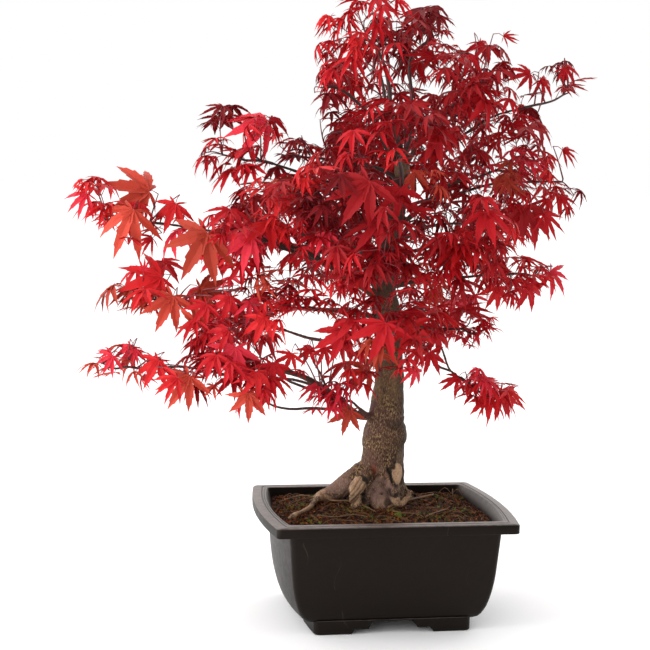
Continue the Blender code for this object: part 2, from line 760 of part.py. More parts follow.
for leftover in list(bpy.data.objects):
    bpy.data.objects.remove(leftover)
make_pot()
make_soil()
make_trunk()
make_foliage(make_boughs())
centre_over_origin()
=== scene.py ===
"""A Japanese maple bonsai in its plastic training pot: red spring leaves over a fluted grey-brown trunk.

The sections follow the plant from the ground up: the place that it stands in, the pot, the soil and what
grows on it, the wood, and then the twigs and leaves.
"""

import math
import random

import bmesh
import bpy
import numpy as np
from mathutils import Matrix, Vector, noise
from mathutils.bvhtree import BVHTree
from mathutils.kdtree import KDTree


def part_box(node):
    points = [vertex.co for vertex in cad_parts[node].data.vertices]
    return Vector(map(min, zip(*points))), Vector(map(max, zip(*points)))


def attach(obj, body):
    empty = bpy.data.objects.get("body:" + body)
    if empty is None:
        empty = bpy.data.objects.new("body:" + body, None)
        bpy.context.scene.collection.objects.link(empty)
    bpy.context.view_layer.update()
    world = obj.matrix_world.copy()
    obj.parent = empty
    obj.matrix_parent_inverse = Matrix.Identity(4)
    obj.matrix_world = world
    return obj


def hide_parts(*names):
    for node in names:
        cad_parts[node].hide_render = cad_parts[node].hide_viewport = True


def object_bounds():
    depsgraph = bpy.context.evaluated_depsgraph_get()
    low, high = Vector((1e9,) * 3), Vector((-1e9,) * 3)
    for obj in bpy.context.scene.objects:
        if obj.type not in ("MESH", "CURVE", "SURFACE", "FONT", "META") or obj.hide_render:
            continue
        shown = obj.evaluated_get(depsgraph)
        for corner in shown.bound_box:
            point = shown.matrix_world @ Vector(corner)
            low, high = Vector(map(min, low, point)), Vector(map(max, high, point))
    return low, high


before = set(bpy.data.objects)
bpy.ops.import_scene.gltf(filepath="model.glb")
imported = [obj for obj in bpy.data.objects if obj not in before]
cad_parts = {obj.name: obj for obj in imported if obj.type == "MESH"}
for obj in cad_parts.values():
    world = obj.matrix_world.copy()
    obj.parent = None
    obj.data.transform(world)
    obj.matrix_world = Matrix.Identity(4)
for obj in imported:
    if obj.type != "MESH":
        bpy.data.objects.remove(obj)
cad_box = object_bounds()


# ---------------------------------------------------------------- the place it stands in
# A white table top that runs on out of sight, under big soft lamps. The strongest stand to the left and
# behind, so the pot's near side stays dark and the left edge of every leaf is lit.

MM = 0.001
UP = Vector((0, 0, 1))


def linear(hex_colour):
    """An sRGB hex colour as the linear numbers that shaders take."""
    parts = [int(hex_colour[i : i + 2], 16) / 255 for i in (1, 3, 5)]
    return [p / 12.92 if p <= 0.04045 else ((p + 0.055) / 1.055) ** 2.4 for p in parts] + [1.0]


def feed(tree, made, links):
    """Gives a node's sockets their values, or joins them to outputs or to the first output of a node."""
    for socket, source in links.items():
        entry = [s for s in made.inputs if s.enabled and s.name == socket] or [made.inputs[socket]]
        if isinstance(source, bpy.types.Node):
            source = next(s for s in source.outputs if s.enabled)
        if isinstance(source, bpy.types.NodeSocket):
            tree.links.new(source, entry[0])
        else:
            entry[0].default_value = source


def node(tree, kind, links=None, stops=(), **settings):
    """Adds a node fed by links. stops are a ramp's places and colours, settings the node's properties."""
    made = tree.nodes.new("ShaderNode" + kind)
    for name, value in settings.items():
        setattr(made, name, value)
    feed(tree, made, links or {})
    if stops:
        ramp = made.color_ramp.elements
        for end, (at, colour) in zip((ramp[0], ramp[1]), (stops[0], stops[-1])):
            end.position, end.color = at, linear(colour)
        for at, colour in stops[1:-1]:
            ramp.new(at).color = linear(colour)
    return made


def new_material(name, colour="#ffffff", roughness=0.5, specular=0.5):
    """A material, its node tree and its shader, with these constants on the shader's own sockets."""
    made = bpy.data.materials.new(name)
    made.use_nodes = True
    tree = made.node_tree
    shader = tree.nodes["Principled BSDF"]
    feed(tree, shader, {"Base Color": linear(colour), "Roughness": roughness, "Specular IOR Level": specular})
    return made, tree, shader


def new_object(name, data):
    made = bpy.data.objects.new(name, data)
    bpy.context.scene.collection.objects.link(made)
    return made


pot_low, pot_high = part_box("pot")
POT_MIDDLE = Vector(((pot_low.x + pot_high.x) / 2, (pot_low.y + pot_high.y) / 2, 0))

CAMERA_AT = Vector((-0.2697, -1.2031, 0.3919))  # from the middle of the pot's underside
CAMERA_YAW, CAMERA_PITCH, CAMERA_ROLL = 10.15, 6.23, 1.43  # degrees right, down and over
CAMERA_LENS = 77.65
yaw, pitch = math.radians(CAMERA_YAW), math.radians(CAMERA_PITCH)
ahead = Vector((math.sin(yaw) * math.cos(pitch), math.cos(yaw) * math.cos(pitch), -math.sin(pitch)))
level = Vector((math.cos(yaw), -math.sin(yaw), 0))
turned = Matrix((level, level.cross(ahead), -ahead)).transposed().to_4x4()
turned = turned @ Matrix.Rotation(math.radians(CAMERA_ROLL), 4, "Z")
camera = new_object("camera", bpy.data.cameras.new("camera"))
camera.data.lens = CAMERA_LENS
camera.data.sensor_width = 36
camera.data.clip_end = 50
camera.matrix_world = Matrix.Translation(POT_MIDDLE + CAMERA_AT) @ turned
bpy.context.scene.camera = camera
bpy.context.scene.view_settings.view_transform = "Standard"

bm = bmesh.new()
bmesh.ops.create_circle(bm, cap_ends=True, radius=30, segments=64)
floor_mesh = bpy.data.meshes.new("floor")
bm.to_mesh(floor_mesh)
bm.free()
# Matt white card: it gives back nearly all the light, and no gloss.
white_card, _, _ = new_material("white_card_matt", "#fdfdfd", 0.9, 0.0)
floor_mesh.materials.append(white_card)
floor = new_object("floor", floor_mesh)

# How strong the sky is: to the camera, from behind the tree and from before it.
SKY_SEEN, SKY_BEHIND, SKY_BEFORE = 1.0, 2.0, 0.6
world = bpy.data.worlds.new("studio")
bpy.context.scene.world = world
world.use_nodes = True
sky = world.node_tree
sky.nodes.clear()
direction = node(sky, "TexCoord")
apart = node(sky, "SeparateXYZ", {0: direction.outputs["Generated"]})
front_to_back = {"Value": apart.outputs["Y"], "From Min": -0.55, "From Max": 0.75}
rearward = node(sky, "MapRange", {**front_to_back, "To Min": SKY_BEFORE, "To Max": SKY_BEHIND})
seen = node(sky, "LightPath")
strength = node(sky, "Mix", {"Factor": seen, "A": rearward, "B": SKY_SEEN}, data_type="FLOAT")
background = node(sky, "Background", {"Color": (1, 1, 1, 1), "Strength": strength})
node(sky, "OutputWorld", {"Surface": background})

CROWN_MIDDLE = Vector((0, 0, 0.28))
LAMPS = {  # where, how wide in metres, watts
    "lamp_left": ((-1.25, -0.25, 0.62), 1.2, 13),
    "lamp_left_front": ((-0.85, -1.15, 0.45), 0.8, 4.5),
    "lamp_above": ((0.15, 0.15, 1.7), 1.3, 1),
    "lamp_right_behind": ((1.2, 0.8, 1.0), 0.9, 3),
}
for name, (place, wide, watts) in LAMPS.items():
    lamp = bpy.data.lights.new(name, "AREA")
    lamp.shape = "DISK"
    lamp.size = wide
    lamp.energy = watts
    made = new_object(name, lamp)
    made.location = Vector(place) + POT_MIDDLE
    made.rotation_euler = (CROWN_MIDDLE - Vector(place)).to_track_quat("-Z", "Y").to_euler()


# ---------------------------------------------------------------- the pot
# A shallow training pot, injection moulded in dark brown polypropylene. Its short sides bow outwards under a
# broad flat lip with a stepped inner edge, its walls curve in to the base, and stepped arches part four feet.

POT_WIDE, POT_DEEP, POT_HIGH = 210 * MM, 165 * MM, 98 * MM
LIP_HIGH = 9 * MM
LIP_CORNER, BODY_CORNER = 4 * MM, 5 * MM
END_BOW = 7 * MM
BODY_BOW, FOOT_BOW = END_BOW * 0.8, END_BOW * 0.5
WALL = 3 * MM
FOOT_HIGH = 11 * MM
BODY_TOP_INSET = (12.5 * MM, 9.5 * MM)  # at the ends, at the long sides
BODY_FOOT_INSET = (31 * MM, 20 * MM)
FOOT_INSET = (36 * MM, 17 * MM)
FOOT_GAP_LOW, FOOT_GAP_HIGH, FOOT_STEP_HIGH = 72 * MM, 37 * MM, 4.5 * MM
WALL_LEAN = 0.36  # the share of its inset that the wall gains evenly on its way down
CURVE_STARTS = 0.42  # the share of the way down from which it gains the rest
END_POINTS, CORNER_POINTS, SIDE_POINTS = 9, 4, 7


def pot_outline(inset_x, inset_y, corner, bow):
    """One level of the pot in plan, as (x, y, share of an end) anticlockwise from the front right."""
    half_x, half_y = POT_WIDE / 2 - inset_x, POT_DEEP / 2 - inset_y
    edge = half_y - corner

    def rounded(x, first_turn, first_end, last_end):
        for share in (i / CORNER_POINTS for i in range(1, CORNER_POINTS)):
            turn = first_turn + math.pi / 2 * share
            end = first_end + (last_end - first_end) * share
            yield x + corner * math.cos(turn), edge + corner * math.sin(turn), end

    half = []
    for i in range(END_POINTS):
        y = -edge + 2 * edge * i / (END_POINTS - 1)
        half.append((half_x + bow * (1 - (y / edge) ** 2), y, 1))
    half += rounded(half_x - corner, 0, 1, 0)
    half += [((half_x - corner) * (1 - 2 * i / (SIDE_POINTS - 1)), half_y, 0) for i in range(SIDE_POINTS)]
    half += rounded(corner - half_x, math.pi / 2, 0, 1)
    return half + [(-x, -y, end) for x, y, end in half]


def body_inset(z):
    """How far the wall is set in from the lip's outline at a height: near upright, then curving under."""
    t = (POT_HIGH - LIP_HIGH - z) / (POT_HIGH - LIP_HIGH - FOOT_HIGH)
    curve = max(0.0, t - CURVE_STARTS) / (1 - CURVE_STARTS)
    share = WALL_LEAN * t + (1 - WALL_LEAN) * (1 - math.sqrt(max(0.0, 1 - curve**2.2)))
    return [a + (b - a) * share for a, b in zip(BODY_TOP_INSET, BODY_FOOT_INSET)]


def wall_levels(count, low, high):
    """Heights from high to low, closer together where the wall curves."""
    return [high + (low - high) * (1 - (1 - i / (count - 1)) ** 1.6) for i in range(count)]


def skin(rings):
    """A closed shell over rings of (outline, height at the sides, height at the ends), from first to last."""
    bm = bmesh.new()
    loops = []
    for outline, side_z, end_z in rings:
        corners = [bm.verts.new((x, y, side_z + (end_z - side_z) * end)) for x, y, end in outline]
        edges = [bm.edges.new((a, b)) for a, b in zip(corners, corners[1:] + corners[:1])]
        loops.append(edges)
    for low, high in zip(loops, loops[1:]):
        bmesh.ops.bridge_loops(bm, edges=low + high)
    for loop in (loops[0], loops[-1]):
        bmesh.ops.edgeloop_fill(bm, edges=loop)
    bmesh.ops.recalc_face_normals(bm, faces=bm.faces)
    return bm


def new_piece(name, bm, material, smooth_under=None):
    """An object in the plant's frame from a bmesh that was made about the middle of the pot's underside."""
    bmesh.ops.translate(bm, vec=POT_MIDDLE, verts=bm.verts)
    mesh = bpy.data.meshes.new(name)
    bm.to_mesh(mesh)
    bm.free()
    mesh.materials.append(material)
    if smooth_under:
        mesh.shade_smooth()
        mesh.set_sharp_from_angle(angle=math.radians(smooth_under))
    return new_object(name, mesh)


def remade(target, kind, **settings):
    """Puts what one modifier makes of an object's mesh in its place."""
    step = target.modifiers.new(kind.lower(), kind)
    for name, value in settings.items():
        setattr(step, name, value)
    bpy.context.view_layer.update()
    result = bpy.data.meshes.new_from_object(target.evaluated_get(bpy.context.evaluated_depsgraph_get()))
    target.modifiers.clear()
    target.data = result


def boolean(target, operation, other):
    remade(target, "BOOLEAN", operation=operation, solver="EXACT", object=other)
    bpy.data.objects.remove(other)


def arch_cutter(length, degrees, narrow):
    """The stepped gap between two feet, as a bar that runs right across under the pot."""
    low, high = FOOT_GAP_LOW / 2 * narrow, FOOT_GAP_HIGH / 2 * narrow
    slope = 3 * MM
    half_profile = [
        (low, -FOOT_STEP_HIGH),
        (low, MM),
        (low - slope, FOOT_STEP_HIGH),
        (high + slope, FOOT_STEP_HIGH),
        (high, FOOT_HIGH),
    ]
    profile = half_profile + [(-x, z) for x, z in reversed(half_profile)]
    bm = bmesh.new()
    face = bm.faces.new([bm.verts.new((x, -length, z)) for x, z in profile])
    made = bmesh.ops.extrude_face_region(bm, geom=[face])["geom"]
    far_end = [g for g in made if isinstance(g, bmesh.types.BMVert)]
    bmesh.ops.translate(bm, vec=(0, 2 * length, 0), verts=far_end)
    bmesh.ops.rotate(bm, matrix=Matrix.Rotation(math.radians(degrees), 3, "Z"), verts=bm.verts)
    bmesh.ops.recalc_face_normals(bm, faces=bm.faces)
    return new_piece("arch_cutter", bm, moulded_plastic)


# Injection-moulded polypropylene: near black, with the dull shine of a moulded skin. Handling has left pale
# hair scratches, and a grey film lies on whatever faces up: partly dust and partly a painted sheen of the
# sky.
moulded_plastic, tree, shader = new_material("polypropylene_moulded", specular=0.18)
spot = node(tree, "TexCoord").outputs["Object"]
blotch = node(tree, "TexNoise", {"Vector": spot, "Scale": 1 / (45 * MM), "Detail": 4.0, "Roughness": 0.6})
two_browns = {"Factor": blotch, "A": linear("#070504"), "B": linear("#0d0907")}
plain = node(tree, "Mix", two_browns, data_type="RGBA")
hairs = node(tree, "TexNoise", {"Vector": spot, "Scale": 1 / (60 * MM), "Detail": 1.5, "Roughness": 0.35})
line = node(tree, "MapRange", {"Value": hairs, "From Min": 0.497, "From Max": 0.5005})
line_end = node(
    tree, "MapRange", {"Value": hairs, "From Min": 0.5005, "From Max": 0.504, "To Min": 1.0, "To Max": 0.0}
)
ring = node(tree, "Math", {0: line, 1: line_end}, operation="MULTIPLY")
patchy = node(tree, "TexNoise", {"Vector": spot, "Scale": 1 / (24 * MM), "Detail": 2.0})
sparse = node(tree, "MapRange", {"Value": patchy, "From Min": 0.56, "From Max": 0.68})
scratch = node(tree, "Math", {0: ring, 1: sparse}, operation="MULTIPLY")
scratched = node(tree, "Mix", {"Factor": scratch, "A": plain, "B": linear("#3a322c")}, data_type="RGBA")
facing = node(tree, "SeparateXYZ", {0: node(tree, "NewGeometry").outputs["Normal"]})
dust_noise = node(tree, "TexNoise", {"Vector": spot, "Scale": 1 / (7 * MM), "Detail": 6.0, "Roughness": 0.7})
# Faces that look up are greyed: partly dust, partly painted sheen of the bright sky above.
upward = node(tree, "MapRange", {"Value": facing.outputs["Z"], "From Min": 0.25, "From Max": 0.95})
patchy_dust_and_sheen = node(
    tree, "MapRange", {"Value": dust_noise, "From Min": 0.3, "From Max": 0.75, "To Min": 0.25, "To Max": 0.8}
)
dust_and_painted_sheen = node(tree, "Math", {0: upward, 1: patchy_dust_and_sheen}, operation="MULTIPLY")
coloured = node(tree, "Mix", {"Factor": dust_and_painted_sheen, "A": scratched, "B": linear("#8b817b")}, data_type="RGBA")
rough = node(
    tree, "MapRange", {"Value": dust_noise, "From Min": 0.2, "From Max": 0.8, "To Min": 0.36, "To Max": 0.56}
)
grain = node(tree, "TexNoise", {"Vector": spot, "Scale": 1 / (1.6 * MM), "Detail": 3.0})
skin_bump = node(tree, "Bump", {"Height": grain, "Strength": 0.12, "Distance": 0.15 * MM})
feed(
    tree,
    shader,
    {"Base Color": coloured, "Specular Tint": linear("#ffe9dc"), "Roughness": rough, "Normal": skin_bump},
)

rings = []
for z in reversed(wall_levels(15, FOOT_HIGH, POT_HIGH - LIP_HIGH)):
    x, y = body_inset(z)
    rings.append((pot_outline(x, y, BODY_CORNER, BODY_BOW), z, z))
LIP = (  # (inset at the ends, inset at the sides, height under the pot's top at the sides, at the ends) in mm
    (11.4, 8.8, 3.4, 3.4),
    (2.1, 2.1, 3.4, 3.6),
    (1.8, 1.8, 8.7, 8.7),
    (1.4, 1.4, 9.0, 9.0),
    (0.3, 0.3, 9.0, 9.0),
    (0.0, 0.0, 8.6, 8.6),
    (0.0, 0.0, 1.4, 2.0),
    (0.25, 0.25, 0.8, 1.4),
    (0.9, 0.8, 0.35, 1.0),
    (7.6, 5.0, 0.1, 0.35),
    (8.0, 5.4, 0.5, 0.95),
    (8.5, 5.9, 0.5, 0.95),
    (8.9, 6.3, 0.1, 0.3),
    (9.7, 8.6, 0.0, 0.25),
    (10.0, 9.4, 0.0, 0.6),
    (10.4, 10.0, 0.0, 0.6),
    (10.7, 10.6, 0.0, 0.05),
    (11.3, 11.2, 0.1, 0.0),
    (11.9, 11.8, 0.6, 0.5),
)
for end_inset, side_inset, side_drop, end_drop in LIP:
    outline = pot_outline(end_inset * MM, side_inset * MM, LIP_CORNER, END_BOW)
    rings.append((outline, POT_HIGH - side_drop * MM, POT_HIGH - end_drop * MM))
for z in wall_levels(9, FOOT_HIGH + WALL, POT_HIGH - LIP_HIGH):
    x, y = body_inset(z - WALL * 0.4)
    rings.append((pot_outline(x + WALL, y + WALL, LIP_CORNER, BODY_BOW), z, z))
pot = new_piece("training_pot", skin(rings), moulded_plastic)

sole = pot_outline(FOOT_INSET[0] + MM, FOOT_INSET[1] + MM, BODY_CORNER, FOOT_BOW)
foot = pot_outline(*FOOT_INSET, BODY_CORNER, FOOT_BOW)
plinth = skin([(sole, 0, 0), (foot, MM, MM), (foot, FOOT_HIGH + MM, FOOT_HIGH + MM)])
plinth = new_piece("plinth", plinth, moulded_plastic)
END_GAP_NARROWER = 0.72
boolean(plinth, "DIFFERENCE", arch_cutter(POT_DEEP, 0, 1.0))
boolean(plinth, "DIFFERENCE", arch_cutter(POT_WIDE, 90, END_GAP_NARROWER))
boolean(pot, "UNION", plinth)
DRAIN_HOLES = ((-42, 0), (42, 0), (0, -27), (0, 27))  # (x, y) in mm
for x, y in DRAIN_HOLES:
    bm = bmesh.new()
    bmesh.ops.create_cone(bm, cap_ends=True, segments=20, radius1=6.5 * MM, radius2=5.5 * MM, depth=4 * MM)
    bmesh.ops.translate(bm, vec=(x * MM, y * MM, FOOT_HIGH), verts=bm.verts)
    boolean(pot, "DIFFERENCE", new_piece("drain_cutter", bm, moulded_plastic))
pot.data.shade_smooth()
pot.data.set_sharp_from_angle(angle=math.radians(32))
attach(pot, "root")
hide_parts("pot")


# ---------------------------------------------------------------- the soil
# Old peat compost, rust brown and lumpy, that was poured in and has sunk below the lip. Loose crumbs lie on
# it, pressed half into a bed that is modelled as one lump.

SOIL_LEVEL = 95 * MM
SOIL_EDGE_DROP = 6.5 * MM
SOIL_ROWS = (168, 128)
SOIL_REACH = (92, 67)  # how far crumbs lie from the middle, in mm
CRUMB_COUNT = 1500
CRUMB_SIZES = (0.4, 1.1)  # radius in mm, before a crumb is stretched


def soil_height(x, y):
    """The height of the soil's surface at a point of the pot's plan, without its crumbs."""
    half_x = POT_WIDE / 2 - 15 * MM + BODY_BOW * (1 - min(1.0, abs(y) / (66 * MM)) ** 2)
    half_y = POT_DEEP / 2 - 13 * MM
    out = max(abs(x) / half_x, abs(y) / half_y)
    drop = max(0.0, (out - 0.62) / 0.38) ** 1.5 * SOIL_EDGE_DROP
    place = Vector((x, y, 0))
    heaps = noise.noise(place / (26 * MM)) * 1.7 + noise.noise(place / (11 * MM) + UP * 7) * 1.2
    return SOIL_LEVEL - drop + (heaps - 0.6) * MM


# Peat and composted bark: fibres and crumbs of a millimetre or two, each wet or dry, so that rust, umber and
# black lie side by side, with a green bloom of algae and moss in the open.
peat, tree, shader = new_material("peat_compost_loose", roughness=0.92, specular=0.2)
spot = node(tree, "TexCoord").outputs["Object"]
crumb = node(tree, "TexVoronoi", {"Vector": spot, "Scale": 1 / (1.9 * MM), "Randomness": 1.0})
fibre = node(tree, "TexNoise", {"Vector": spot, "Scale": 1 / (3.2 * MM), "Detail": 6.0, "Roughness": 0.7})
dry_and_wet = ((0.30, "#140c05"), (0.46, "#241306"), (0.56, "#5e2e08"), (0.63, "#8c4e11"), (0.72, "#b5803c"))
earth = node(tree, "ValToRGB", {"Fac": fibre}, dry_and_wet)
each = node(tree, "SeparateColor", {0: crumb.outputs["Color"]})
shade = node(tree, "MapRange", {"Value": each.outputs["Red"], "To Min": 0.3, "To Max": 1.4})
crumbs = node(
    tree, "Mix", {"Factor": 1.0, "A": earth, "B": shade}, data_type="RGBA", blend_type="MULTIPLY"
)
mossy = node(tree, "TexNoise", {"Vector": spot, "Scale": 1 / (19 * MM), "Detail": 5.0, "Roughness": 0.65})
moss_mask = node(tree, "MapRange", {"Value": mossy, "From Min": 0.56, "From Max": 0.72, "To Max": 0.6})
soil_colour = node(tree, "Mix", {"Factor": moss_mask, "A": crumbs, "B": linear("#2f3312")}, data_type="RGBA")
heap = node(tree, "Math", {0: crumb, 1: fibre}, operation="ADD")
lumps = node(tree, "Bump", {"Height": heap, "Strength": 0.8, "Distance": 0.9 * MM})
feed(tree, shader, {"Base Color": soil_colour, "Normal": lumps})

bm = bmesh.new()
bmesh.ops.create_grid(bm, x_segments=SOIL_ROWS[0], y_segments=SOIL_ROWS[1], size=1)
for corner in bm.verts:
    u, v = corner.co.x, corner.co.y
    half_x = POT_WIDE / 2 - 16.2 * MM + BODY_BOW * (1 - v * v)
    half_y = POT_DEEP / 2 - 13.4 * MM
    pinch = 1 - 0.012 * abs(u * v) ** 12
    x, y = u * half_x * pinch, v * half_y * pinch
    place = Vector((x, y, 0))
    clods = noise.fractal(place / (5.5 * MM), 0.7, 2.1, 4) * 0.9 + abs(noise.noise(place / (2.6 * MM))) * 0.9
    corner.co = (x, y, soil_height(x, y) + clods * MM)
edge = [e for e in bm.edges if e.is_boundary]
made = bmesh.ops.extrude_edge_only(bm, edges=edge)["geom"]
under = [g for g in made if isinstance(g, bmesh.types.BMVert)]
bmesh.ops.scale(bm, vec=(0.985, 0.985, 0), verts=under)
bmesh.ops.translate(bm, vec=(0, 0, SOIL_LEVEL - 26 * MM), verts=under)
bmesh.ops.edgeloop_fill(bm, edges=[e for e in bm.edges if e.is_boundary])
bmesh.ops.recalc_face_normals(bm, faces=bm.faces)
soil = new_piece("soil_bed", bm, peat, 60)
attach(soil, "root")
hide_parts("soil")


def joined(name, shapes, material, smooth=True):
    """One object from many (points, faces) shapes that were made about the middle of the pot's underside."""
    points, faces, count = [], [], 0
    for shape_points, shape_faces in shapes:
        points.append(shape_points + np.array(POT_MIDDLE))
        for face in shape_faces:
            faces.append([i + count for i in face])
        count += len(shape_points)
    mesh = bpy.data.meshes.new(name)
    mesh.from_pydata(np.concatenate(points).tolist(), [], faces)
    mesh.materials.append(material)
    if smooth:
        mesh.shade_smooth()
    made = new_object(name, mesh)
    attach(made, "root")
    return made


def shape_of(bm):
    """A bmesh as (points, faces), to be placed many times."""
    bm.verts.index_update()
    shape = np.array([v.co for v in bm.verts]), [[v.index for v in f.verts] for f in bm.faces]
    bm.free()
    return shape


bm = bmesh.new()
bmesh.ops.create_icosphere(bm, subdivisions=1, radius=1)
CRUMB = shape_of(bm)
pick = random.Random("peat crumbs")
shapes = []
for _ in range(CRUMB_COUNT):
    x, y = (pick.uniform(-reach, reach) * MM for reach in SOIL_REACH)
    size = pick.uniform(*CRUMB_SIZES) * MM
    rolled = pick.uniform(0, math.tau)
    turn = Matrix.Rotation(rolled, 3, Vector([pick.uniform(-1, 1) for _ in range(3)]).normalized())
    stretch = Matrix.Diagonal((pick.uniform(1.0, 3.4) * size, size, pick.uniform(0.5, 0.9) * size))
    at = Vector((x, y, soil_height(x, y) + 0.8 * MM))
    shapes.append((CRUMB[0] @ np.array(turn @ stretch).T + np.array(at), CRUMB[1]))
crumbs_piece = joined("soil_crumbs", shapes, peat, False)


# ---------------------------------------------------------------- moss
# Cushions of low moss and a few brighter seedlings on the wet compost: each sprig is a stem of narrow
# leaves that stand up and outwards.

MOSS_PATCHES = (  # (x, y, spread in mm, sprigs), about the middle of the pot
    (10, -36, 5, 26),
    (-30, -12, 16, 40),
    (-74, 8, 14, 36),
    (-52, 44, 18, 40),
    (40, -40, 20, 50),
    (70, -20, 14, 36),
    (60, 30, 22, 50),
    (-12, -46, 18, 24),
    (8, -16, 7, 34),
    (-14, 0, 5, 26),
    (84, 44, 10, 20),
    (20, 58, 26, 40),
    (-70, -40, 14, 24),
)
bm = bmesh.new()
for i in range(7):
    blade = bmesh.ops.create_cone(bm, cap_ends=False, segments=3, radius1=0.28, radius2=0, depth=2.0)["verts"]
    bmesh.ops.translate(bm, vec=(0, 0, 1.0), verts=blade)
    lean = math.radians(14 + 50 * (i % 4) / 3)
    bmesh.ops.rotate(bm, matrix=Matrix.Rotation(lean, 3, "X"), verts=blade)
    bmesh.ops.rotate(bm, matrix=Matrix.Rotation(i * 2.4, 3, "Z"), verts=blade)
SPRIG = shape_of(bm)


# Living moss: soft and matt, olive where it is shaded and yellow-green where it is new.
MOSS_TONES = {"moss_olive": "#3d4014", "moss_green": "#5d7a1d", "moss_dry": "#7a5f26"}
pick = random.Random("moss")
sprigs = {tone: [] for tone in MOSS_TONES}
for patch_x, patch_y, spread, count in MOSS_PATCHES:
    for _ in range(count):
        x, y = (patch_x + pick.gauss(0, spread * 0.5)) * MM, (patch_y + pick.gauss(0, spread * 0.5)) * MM
        if abs(x) > 90 * MM or abs(y) > 66 * MM:
            continue
        tone = pick.choices(list(MOSS_TONES), (5, 1.2 if spread > 6 else 12, 5))[0]
        size = pick.uniform(0.7, 1.5) * MM * (1.3 if spread < 6 else 1)
        turn = Matrix.Rotation(pick.uniform(0, math.tau), 3, "Z")
        turn = turn @ Matrix.Rotation(pick.uniform(-0.4, 0.4), 3, "X")
        at = Vector((x, y, soil_height(x, y) + 0.4 * MM))
        sprigs[tone].append((SPRIG[0] @ np.array(turn).T * size + np.array(at), SPRIG[1]))
for tone, shapes in sprigs.items():
    moss = joined(tone, shapes, new_material(tone + "_living", MOSS_TONES[tone], 0.85)[0], False)


# ---------------------------------------------------------------- fine roots on the soil
# Wiry feeding roots, some alive and some dead, that have worked up to the surface and dried in the air. Each
# is a smooth line through a row of points with a tapering tube about it, as every wooden part is.


def between(rows, i, t):
    """A point on the smooth curve through rows, a share t of the way from row i to the next."""
    before, start, end, after = (rows[max(0, min(i + k, len(rows) - 1))] for k in (-1, 0, 1, 2))
    point = []
    for a, b, c, d in zip(before, start, end, after):
        squared = a - 2.5 * b + 2 * c - d / 2
        cubed = 1.5 * (b - c) + (d - a) / 2
        point.append(b + t * ((c - a) / 2 + t * (squared + t * cubed)))
    return point


def eased(path, radii, steps):
    """The same limb with more points: a smooth curve through the ones it has."""
    rows = [(*p, r) for p, r in zip(path, radii)]
    fine = [between(rows, i, k / steps) for i in range(len(rows) - 1) for k in range(steps)] + [rows[-1]]
    return [Vector(row[:3]) for row in fine], [row[3] for row in fine]


def ring_frames(path, radii):
    """A matrix for each point of a limb that puts a unit circle square across it, without twist."""
    frames = []
    turn = None
    for i, point in enumerate(path):
        heading = path[min(i + 1, len(path) - 1)] - path[max(i - 1, 0)]
        heading.normalize()
        if turn is None:
            turn = heading.to_track_quat("Z", "X")
        else:
            turn = before.rotation_difference(heading) @ turn
        before = heading
        frames.append(Matrix.Translation(point) @ turn.to_matrix().to_4x4() @ Matrix.Scale(radii[i], 4))
    return frames


def tube(path, radii, sides):
    """A tapering limb: a disc at the path's start, extruded from point to point."""
    bm = bmesh.new()
    frames = ring_frames(path, radii)
    bmesh.ops.create_circle(bm, cap_ends=True, radius=1, segments=sides, matrix=frames[0])
    end = bm.faces[:]
    for i, (here, there) in enumerate(zip(frames, frames[1:])):
        made = bmesh.ops.extrude_face_region(bm, geom=end)["geom"]
        if i:
            bmesh.ops.delete(bm, geom=end, context="FACES_ONLY")
        end = [g for g in made if isinstance(g, bmesh.types.BMFace)]
        corners = [g for g in made if isinstance(g, bmesh.types.BMVert)]
        bmesh.ops.transform(bm, matrix=there @ here.inverted(), verts=corners)
    bmesh.ops.recalc_face_normals(bm, faces=bm.faces)
    return bm


# Each one's rows of (x, y, height over the soil) and its radius at each end, in mm from the pot's middle.
ROOTLETS = (
    (((-44, 22, 2), (-40, 10, 3.5), (-26, 4, 4), (-15, -4, 3), (-7, -20, 0)), 0.9, 0.5),
    (((6, -8, 1.5), (22, 6, 2.5), (40, 22, 3), (59, 38, 1)), 1.5, 0.9),
    (((31, -45, 1), (44, -32, 2.5), (57, -16, 0.5)), 0.8, 0.5),
    (((6, -24, 1), (14, -32, 2), (24, -36, 1), (30, -44, 0)), 0.7, 0.4),
    (((82, 58, 0), (80, 48, 7), (78, 40, 0)), 0.45, 0.3),
    (((82, 58, 0), (86, 50, 8), (90, 44, 0)), 0.45, 0.3),
    (((82, 58, 0), (74, 54, 6), (66, 52, 0)), 0.4, 0.3),
    (((-86, 40, 1), (-66, 34, 4), (-52, 24, 2)), 0.6, 0.4),
    (((-80, 20, 1), (-66, 24, 3), (-50, 34, 1)), 0.5, 0.35),
    (((-62, -30, 1), (-48, -38, 2.5), (-30, -36, 1.5), (-18, -44, 0)), 0.55, 0.35),
)
STRAY_ROOTLETS = 90

# Dry root bark: thin and dull, from dark brown where it is damp to straw where it has dried.
dry_root, tree, shader = new_material("root_bark_dry", roughness=0.8)
spot = node(tree, "TexCoord").outputs["Object"]
along = node(tree, "TexNoise", {"Vector": spot, "Scale": 1 / (9 * MM), "Detail": 4.0})
damp_and_dry = {"Factor": along, "A": linear("#2c180e"), "B": linear("#85603a")}
feed(tree, shader, {"Base Color": node(tree, "Mix", damp_and_dry, data_type="RGBA")})

